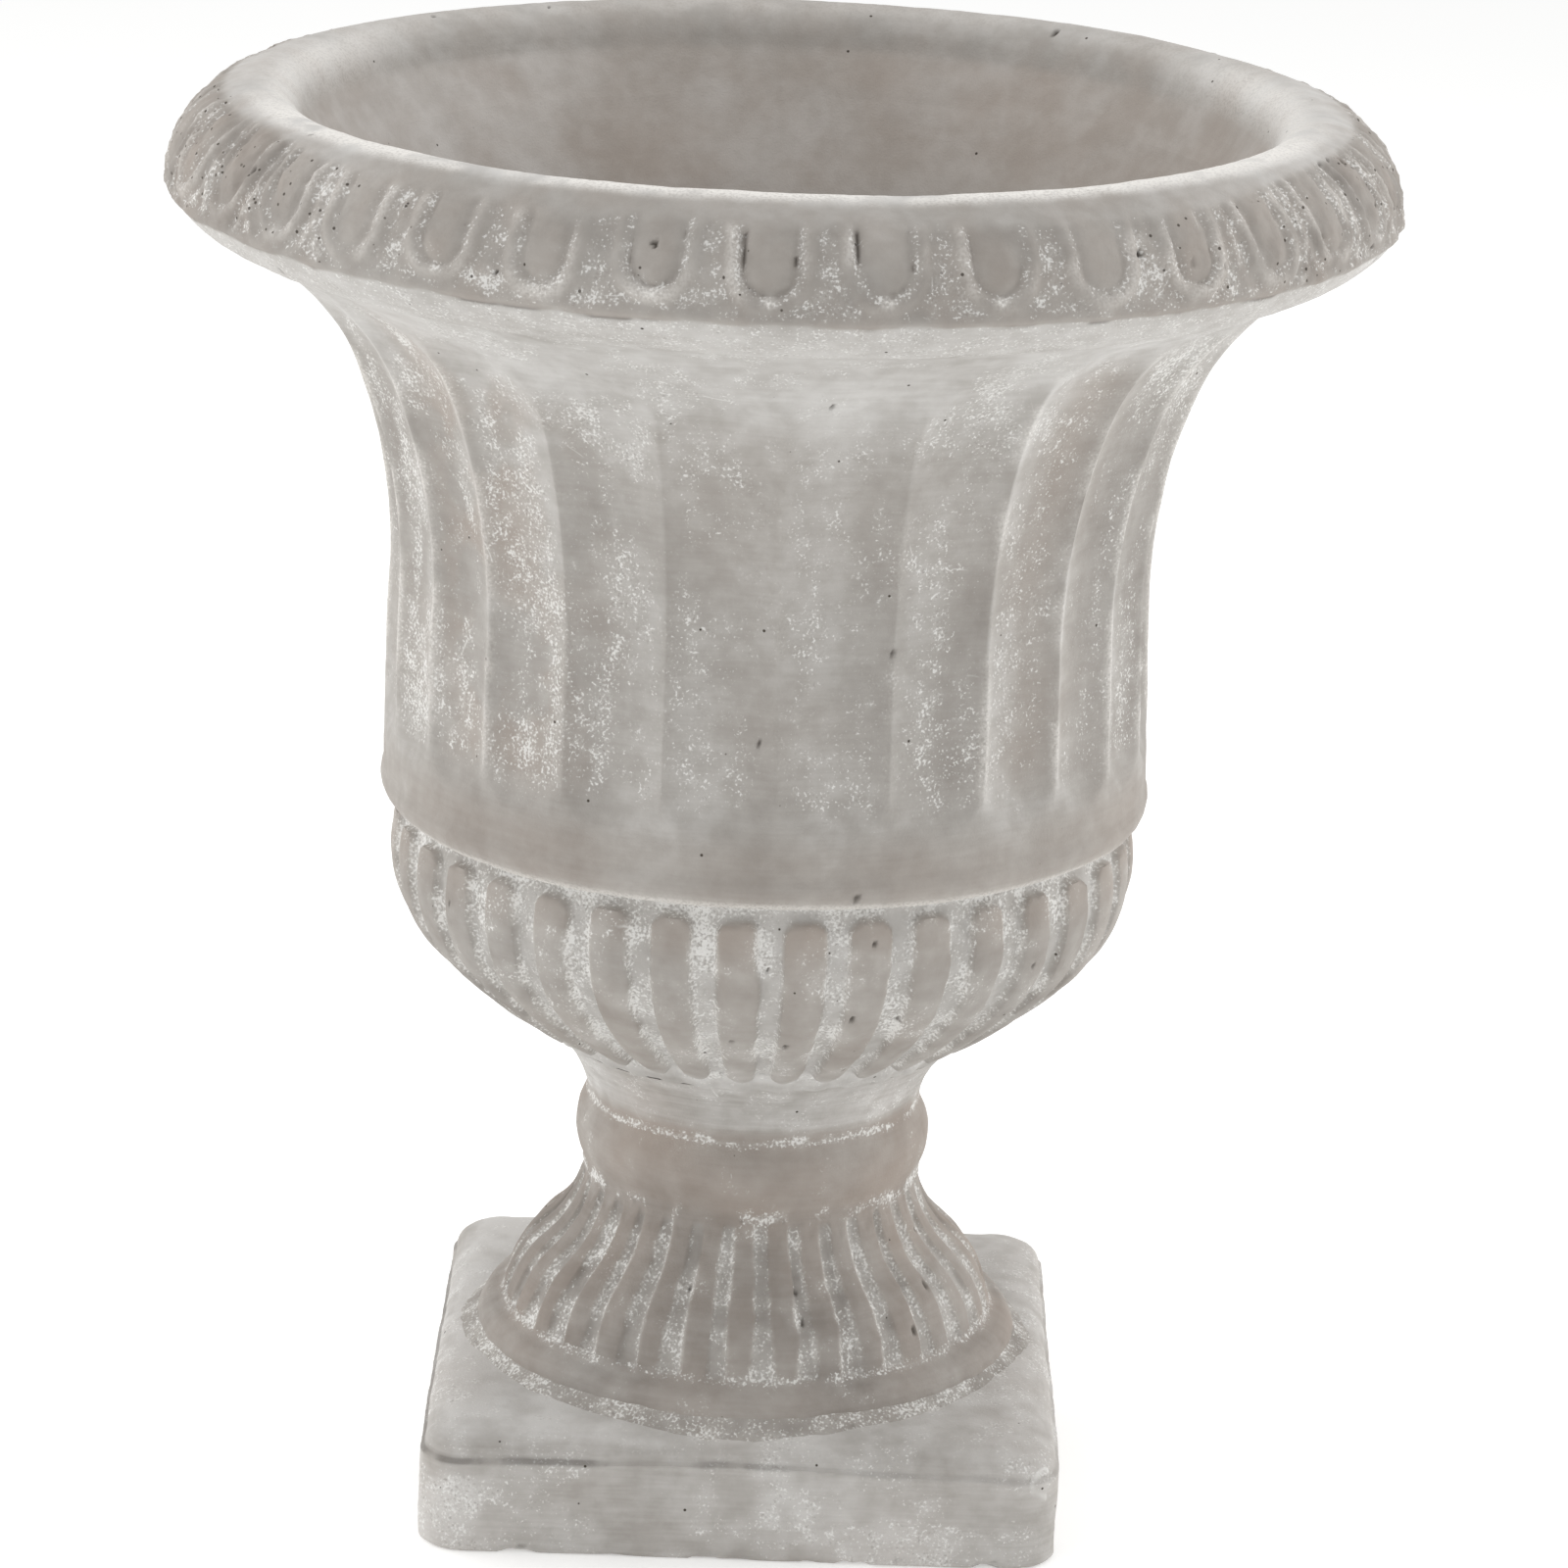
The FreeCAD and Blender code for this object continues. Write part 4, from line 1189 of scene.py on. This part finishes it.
@dataclass(frozen=True)
class CementFinish:
    """Cast cement, brushed with a thin limewash that was wiped off the raised parts.

    The eye sees a chalky, blotchy grey-beige ground, grains of white left in the hollows, faint brush
    lines, short pale hair fibres, pale edges where the wash came away and dark pin holes. The pale edge
    layer also lays painted highlights, and the dark layer painted shade, where the mesh asks for them.
    A hair is a short stretch of a contour line of a slow noise. Nothing shines. Grains and hairs are
    drawn coarser than real ones, so that they show.
    """

    name: str
    dark: str = "#857F79"
    middle: str = "#A6A29D"
    light: str = "#CBC9C6"
    limewash: str = "#E4E3E0"
    stain: str = "#A09287"
    rubbed_and_highlight: str = "#EAE7E2"
    hole_and_shade: str = "#453F38"
    blotch_mm: float = 26.0
    blotch_swing: float = 0.09
    mottle_mm: float = 5.0
    mottle_swing: float = 0.07
    brush_mm: tuple[float, float, float] = (14.0, 14.0, 1.0)
    brush_swing: float = 0.11
    sand_mm: float = 0.65
    clump_mm: float = 3.6
    clump_swing: float = 0.2
    heap: float = 0.34
    veil: float = 0.28
    cover: float = 0.75
    grain_mm: float = 0.55
    hair_mm: float = 34.0
    hair_width: float = 0.005
    hair_gap_mm: float = 8.0
    pin_gap_mm: float = 9.5
    pin_r_mm: float = 0.42
    pore_gap_mm: float = 2.4
    pore_r_mm: float = 0.45
    bump_mm: float = 0.25
    bump_strength: float = 0.35
    noise_roughness: float = 0.55
    roughness: float = 0.9
    specular: float = 0.25

    def build(self) -> bpy.types.Material:
        """Node material that reads the painted weathering and adds detail finer than the mesh.

        Returns:
            The material.
        """
        material = empty_material(self.name)
        add = partial(add_node, material.node_tree)
        place = add("TexCoord").outputs["Object"]
        tint = {t: add("Attribute", attribute_name=t.value).outputs["Fac"] for t in Tint}
        soft = {"interpolation_type": "SMOOTHSTEP"}

        # Noise patterns: size of a cell in millimetres, and detail
        patterns = (
            (self.blotch_mm, 4.0), (self.mottle_mm, 3.0), (self.sand_mm, 1.0), (self.clump_mm, 2.0),
            (self.grain_mm, 1.0), (self.hair_mm, 0.0), (self.hair_gap_mm, 0.0))
        common = {"Vector": place, "Roughness": self.noise_roughness}
        blotch, mottle, sand, clump, grain, hair, hair_gap = (
            add("TexNoise", {**common, "Scale": 1.0 / (size * MM), "Detail": detail})
            for size, detail in patterns)
        brushed = add("Mapping", {"Vector": place, "Scale": [1.0 / (size * MM) for size in self.brush_mm]})
        lines = add("TexNoise", {"Vector": brushed, "Scale": 1.0, "Detail": 2.0})

        # Ground: painted tone with blotches, mottling and brush lines, and the share of the warm stain
        swings = ((blotch, self.blotch_swing), (mottle, self.mottle_swing), (lines, self.brush_swing))
        clouds, specks, strokes = (
            add("MapRange", (pattern, 0.3, 0.7, -swing, swing), **soft) for pattern, swing in swings)
        strokes = add("Math", (strokes, tint[Tint.BRUSH]), operation="MULTIPLY")
        tone = tint[Tint.TONE]
        for change in (clouds, specks, strokes):
            tone = add("Math", (tone, change), operation="ADD")
        ramp = add("ValToRGB", (tone,))
        stops = ramp.color_ramp.elements
        stops.new(0.5)
        for stop, code in zip(stops, (self.dark, self.middle, self.light)):
            stop.color = linear(code)
        uneven = add("MapRange", (blotch, 0.3, 0.7, 0.7, 0.35), **soft)
        warm = add("Math", (tint[Tint.WARM], uneven), operation="MULTIPLY")

        # Limewash: a veil, dark gaps between its grains and grains that cover
        clumps = add("MapRange", (clump, 0.25, 0.75, -self.clump_swing, self.clump_swing), **soft)
        amount = add("Math", (tint[Tint.WASH], clumps), operation="ADD")
        veil = add("MapRange", (amount, 0.1, 1.0, 0.0, self.veil), **soft)
        gaps = add("MapRange", (sand, 0.28, 0.42, 0.5, 0.0), **soft)
        washed = add("MapRange", (amount, 0.1, 0.5, 0.0, 1.0), **soft)
        grit = add("Math", (gaps, washed), operation="MULTIPLY")
        raised = add("Math", (amount, self.heap), operation="MULTIPLY")
        heaped = add("Math", (sand, raised), operation="ADD")
        grains = add("MapRange", (heaped, 0.66, 0.82, 0.0, self.cover), **soft)
        kept = add("MapRange", (tint[Tint.WASH], 0.02, 0.2, 0.0, 1.0), **soft)
        cover = add("Math", (grains, kept), operation="MULTIPLY")

        # Pale edges where the wash came away, and painted highlights on the same layer; hairs where limewash
        # is kept
        rubbing = add("MapRange", (sand, 0.3, 0.6, 0.4, 1.0), **soft)
        worn = add("Math", (tint[Tint.WORN_AND_HIGHLIGHT], rubbing), operation="MULTIPLY")
        offset = add("Math", (hair, 0.5), operation="SUBTRACT")
        contour = add("Math", (offset,), operation="ABSOLUTE")
        thread = add("MapRange", (contour, 0.0, self.hair_width, 0.5, 0.0), **soft)
        stretch = add("MapRange", (hair_gap, 0.66, 0.72, 0.0, 1.0), **soft)
        strand = add("Math", (thread, stretch), operation="MULTIPLY")
        strand = add("Math", (strand, kept), operation="MULTIPLY")

        # Pin holes all over, and pores where they are painted: a dot in each cell of a Voronoi pattern. The
        # painted dark layer also carries painted shade in slits and creases.
        sizes = ((self.pin_gap_mm, self.pin_r_mm), (self.pore_gap_mm, self.pore_r_mm))
        cells = [add("TexVoronoi", {"Vector": place, "Scale": 1.0 / (gap * MM)}) for gap, _ in sizes]
        pins, pores = (
            add("MapRange", (cell, 0.6 * radius / gap, radius / gap, 1.0, 0.0), **soft)
            for cell, (gap, radius) in zip(cells, sizes))
        chance = add("Math", (tint[Tint.PORES], cells[1].outputs["Color"]), operation="SUBTRACT")
        opened = add("MapRange", (chance, 0.0, 0.05, 0.0, 0.9), **soft)
        pores = add("Math", (pores, opened), operation="MULTIPLY")
        pits = add("Math", (pins, pores), operation="MAXIMUM")
        pits = add("Math", (tint[Tint.PITS_AND_SHADE], pits), operation="MAXIMUM")

        # Colours laid over the ground one after the other, and the bump
        colour = ramp.outputs["Color"]
        layers = (
            (warm, self.stain), (veil, self.limewash), (grit, self.dark), (cover, self.limewash),
            (worn, self.rubbed_and_highlight), (strand, self.limewash), (pits, self.hole_and_shade))
        for share, code in layers:
            colour = add("Mix", {0: share, 6: colour, 7: linear(code)}, data_type="RGBA").outputs[2]
        lumps = add("Math", (cover, 0.8), operation="MULTIPLY")
        height = add("Math", (grain, lumps), operation="ADD")
        relief = {"Height": height, "Strength": self.bump_strength, "Distance": self.bump_mm * MM}
        look = {"Base Color": colour, "Normal": add("Bump", relief), "Roughness": self.roughness}
        surface = add("BsdfPrincipled", {**look, "Specular IOR Level": self.specular})
        add("OutputMaterial", {"Surface": surface})
        return material


@dataclass(frozen=True)
class GalvanisedSteel:
    """Hot-dipped zinc on steel: large soft crystals in two greys and a dull metallic sheen."""

    name: str = "galvanised steel"
    pale: str = "#B4B7BA"
    deep: str = "#8F9396"
    spangle_mm: float = 3.5
    roughness: tuple[float, float] = (0.34, 0.52)

    def build(self) -> bpy.types.Material:
        """Node material whose crystals are the cells of a Voronoi pattern.

        Returns:
            The material.
        """
        material = empty_material(self.name)
        add = partial(add_node, material.node_tree)
        place = add("TexCoord").outputs["Object"]
        cells = add("TexVoronoi", {"Vector": place, "Scale": 1.0 / (self.spangle_mm * MM)})
        share = add("SeparateColor", (cells.outputs["Color"],)).outputs["Red"]
        greys = {6: linear(self.deep), 7: linear(self.pale)}
        colour = add("Mix", {0: share, **greys}, data_type="RGBA").outputs[2]
        dull = add("MapRange", {"Value": share, "To Min": self.roughness[0], "To Max": self.roughness[1]})
        surface = add("BsdfPrincipled", {"Base Color": colour, "Roughness": dull, "Metallic": 1.0})
        add("OutputMaterial", {"Surface": surface})
        return material


@dataclass(frozen=True)
class MouldedRubber:
    """Moulded black rubber: matt, with a bloom of paler dust and a fine moulded grain."""

    name: str = "moulded black rubber"
    black: str = "#1E1E1F"
    bloom: str = "#39393A"
    bloom_mm: float = 6.0
    grain_mm: float = 0.5
    bump_mm: float = 0.1
    bump_strength: float = 0.2
    roughness: float = 0.72

    def build(self) -> bpy.types.Material:
        """Node material with a soft bloom and a fine bump.

        Returns:
            The material.
        """
        material = empty_material(self.name)
        add = partial(add_node, material.node_tree)
        place = add("TexCoord").outputs["Object"]
        dust = add("TexNoise", {"Vector": place, "Scale": 1.0 / (self.bloom_mm * MM), "Detail": 4.0})
        grain = add("TexNoise", {"Vector": place, "Scale": 1.0 / (self.grain_mm * MM)})
        blacks = {6: linear(self.black), 7: linear(self.bloom)}
        colour = add("Mix", {0: dust, **blacks}, data_type="RGBA").outputs[2]
        relief = {"Height": grain, "Strength": self.bump_strength, "Distance": self.bump_mm * MM}
        look = {"Base Color": colour, "Normal": add("Bump", relief), "Roughness": self.roughness}
        add("OutputMaterial", {"Surface": add("BsdfPrincipled", look)})
        return material


@dataclass
class TieHardware:
    """Construction pieces that keep their own shape: bed, tube, washers, nuts and plug."""

    beds: tuple[str, ...] = ("bowl_bed",)
    metal: tuple[str, ...] = ("drain_tube", "top_washer", "top_nut", "bottom_washer", "bottom_nut")
    rubber: tuple[str, ...] = ("seal_washer", "drain_plug")

    def dress(
        self, mortar: bpy.types.Material, steel: bpy.types.Material, rubber: bpy.types.Material
    ) -> None:
        """Puts a finish in every material slot of the pieces.

        Args:
            mortar: Finish of the bed.
            steel: Finish of the metal pieces.
            rubber: Finish of the seal and the plug.
        """
        for names, finish in ((self.beds, mortar), (self.metal, steel), (self.rubber, rubber)):
            for name in names:
                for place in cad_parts[name].material_slots:
                    place.material = finish
                LOG.info("%s: kept, finish %s", name, finish.name)


@dataclass
class Studio:
    """Pale floor, soft light and the camera."""

    floor_reach: float = 5.0
    floor_colour: str = "#F2F2F1"
    sky_strength: float = 0.68
    floor_glow: float = 0.3
    camera_place: tuple[float, float, float] = (0.0, -1.30005, 0.55768)
    pitch: float = 0.296464
    yaw: float = 0.003546
    roll: float = 0.036375
    lens: float = 137.09
    sensor: float = 36.0
    aim: tuple[float, float, float] = (0.0, 0.0, 0.18)
    lamps: tuple[tuple[str, tuple[float, float, float], float, float], ...] = (
        ("key", (-0.9, -1.2, 1.5), 1.2, 4.0),
        ("overhead", (0.0, 0.2, 1.9), 1.2, 6.0),
        ("left edge", (-1.3, 0.35, 0.5), 0.9, 7.5),
        ("right edge", (1.3, 0.35, 0.5), 0.9, 8.5),
    )

    def camera(self) -> None:
        """Camera that looks down by the pitch, turned by the yaw and rolled about its own axis."""
        ahead = Vector((math.sin(self.yaw) * math.cos(self.pitch), math.cos(self.yaw) * math.cos(self.pitch),
                        -math.sin(self.pitch)))
        right = Vector((math.cos(self.yaw), -math.sin(self.yaw), 0.0))
        up = right.cross(ahead)
        across = math.cos(self.roll) * right + math.sin(self.roll) * up
        upward = -math.sin(self.roll) * right + math.cos(self.roll) * up
        data = bpy.data.cameras.new("camera")
        data.lens = self.lens
        data.sensor_width = self.sensor
        data.sensor_fit = "HORIZONTAL"
        eye = bpy.data.objects.new("camera", data)
        turn = Matrix((across, upward, -ahead)).transposed().to_4x4()
        eye.matrix_world = Matrix.Translation(self.camera_place) @ turn
        bpy.context.scene.collection.objects.link(eye)
        bpy.context.scene.camera = eye

    def lamp(self, name: str, place: tuple[float, float, float], size: float, watts: float) -> None:
        """Square soft lamp that faces the urn.

        Args:
            name: Name of the lamp.
            place: Where it hangs, in metres.
            size: Length of its side in metres.
            watts: Its power.
        """
        data = bpy.data.lights.new(name, "AREA")
        data.size = size
        data.energy = watts
        lamp = bpy.data.objects.new(name, data)
        facing = (Vector(self.aim) - Vector(place)).to_track_quat("-Z", "Y")
        lamp.matrix_world = Matrix.Translation(place) @ facing.to_matrix().to_4x4()
        bpy.context.scene.collection.objects.link(lamp)

    def light(self) -> None:
        """White surroundings and soft lamps; the camera sees plain white behind the floor."""
        world = bpy.data.worlds.new("white surroundings")
        world.use_nodes = True
        world.node_tree.nodes.clear()
        add = partial(add_node, world.node_tree)
        path = add("LightPath")
        seen = path.outputs["Is Camera Ray"]
        for ray in ("Is Glossy Ray", "Is Transmission Ray"):
            seen = add("Math", (seen, path.outputs[ray]), operation="MAXIMUM")
        strength = add("MapRange", {"Value": seen, "To Min": self.sky_strength, "To Max": 1.0})
        sky = add("Background", {"Color": (1.0, 1.0, 1.0, 1.0), "Strength": strength})
        add("OutputWorld", {"Surface": sky})
        bpy.context.scene.world = world
        for lamp in self.lamps:
            self.lamp(*lamp)

    def floor(self) -> None:
        """Flat floor of one square, lifted to white by a faint glow of its own; it keeps the shadow."""
        reach = self.floor_reach
        corners = [(-reach, -reach, 0.0), (reach, -reach, 0.0), (reach, reach, 0.0), (-reach, reach, 0.0)]
        mesh = bpy.data.meshes.new("floor")
        mesh.from_pydata(corners, [], [(0, 1, 2, 3)])
        material = empty_material("white studio paper")
        add = partial(add_node, material.node_tree)
        matt = add("BsdfDiffuse", {"Color": linear(self.floor_colour)})
        glow = add("Emission", {"Strength": self.floor_glow})
        add("OutputMaterial", {"Surface": add("AddShader", (matt, glow))})
        mesh.materials.append(material)
        paper = bpy.data.objects.new("floor", mesh)
        bpy.context.scene.collection.objects.link(paper)


def main() -> None:
    """Sets the studio, builds and dresses each piece, and notes the sizes."""
    logging.basicConfig(level=logging.INFO, format="%(name)s: %(message)s")
    bpy.context.scene.view_settings.view_transform = "Standard"
    studio = Studio()
    studio.camera()
    studio.light()
    studio.floor()
    cement = CementFinish("limewashed fibre cement").build()
    mortar = CementFinish("lime mortar", stain="#A39A8F").build()
    section = BowlSection()
    for maker in (RolledRim(section), FlutedDrum(section), GadroonedCalyx(section), BowlInside(section)):
        fit_piece(maker.build(), cement, "bowl")
    fit_piece(TurnedFoot().build(), cement, "foot")
    fit_piece(SquarePlinth().build(), cement, "plinth")
    fit_piece(MortarSkirt().build(), mortar, "foot_bed")
    TieHardware().dress(mortar, GalvanisedSteel().build(), MouldedRubber().build())


if __name__ == "__main__":
    main()
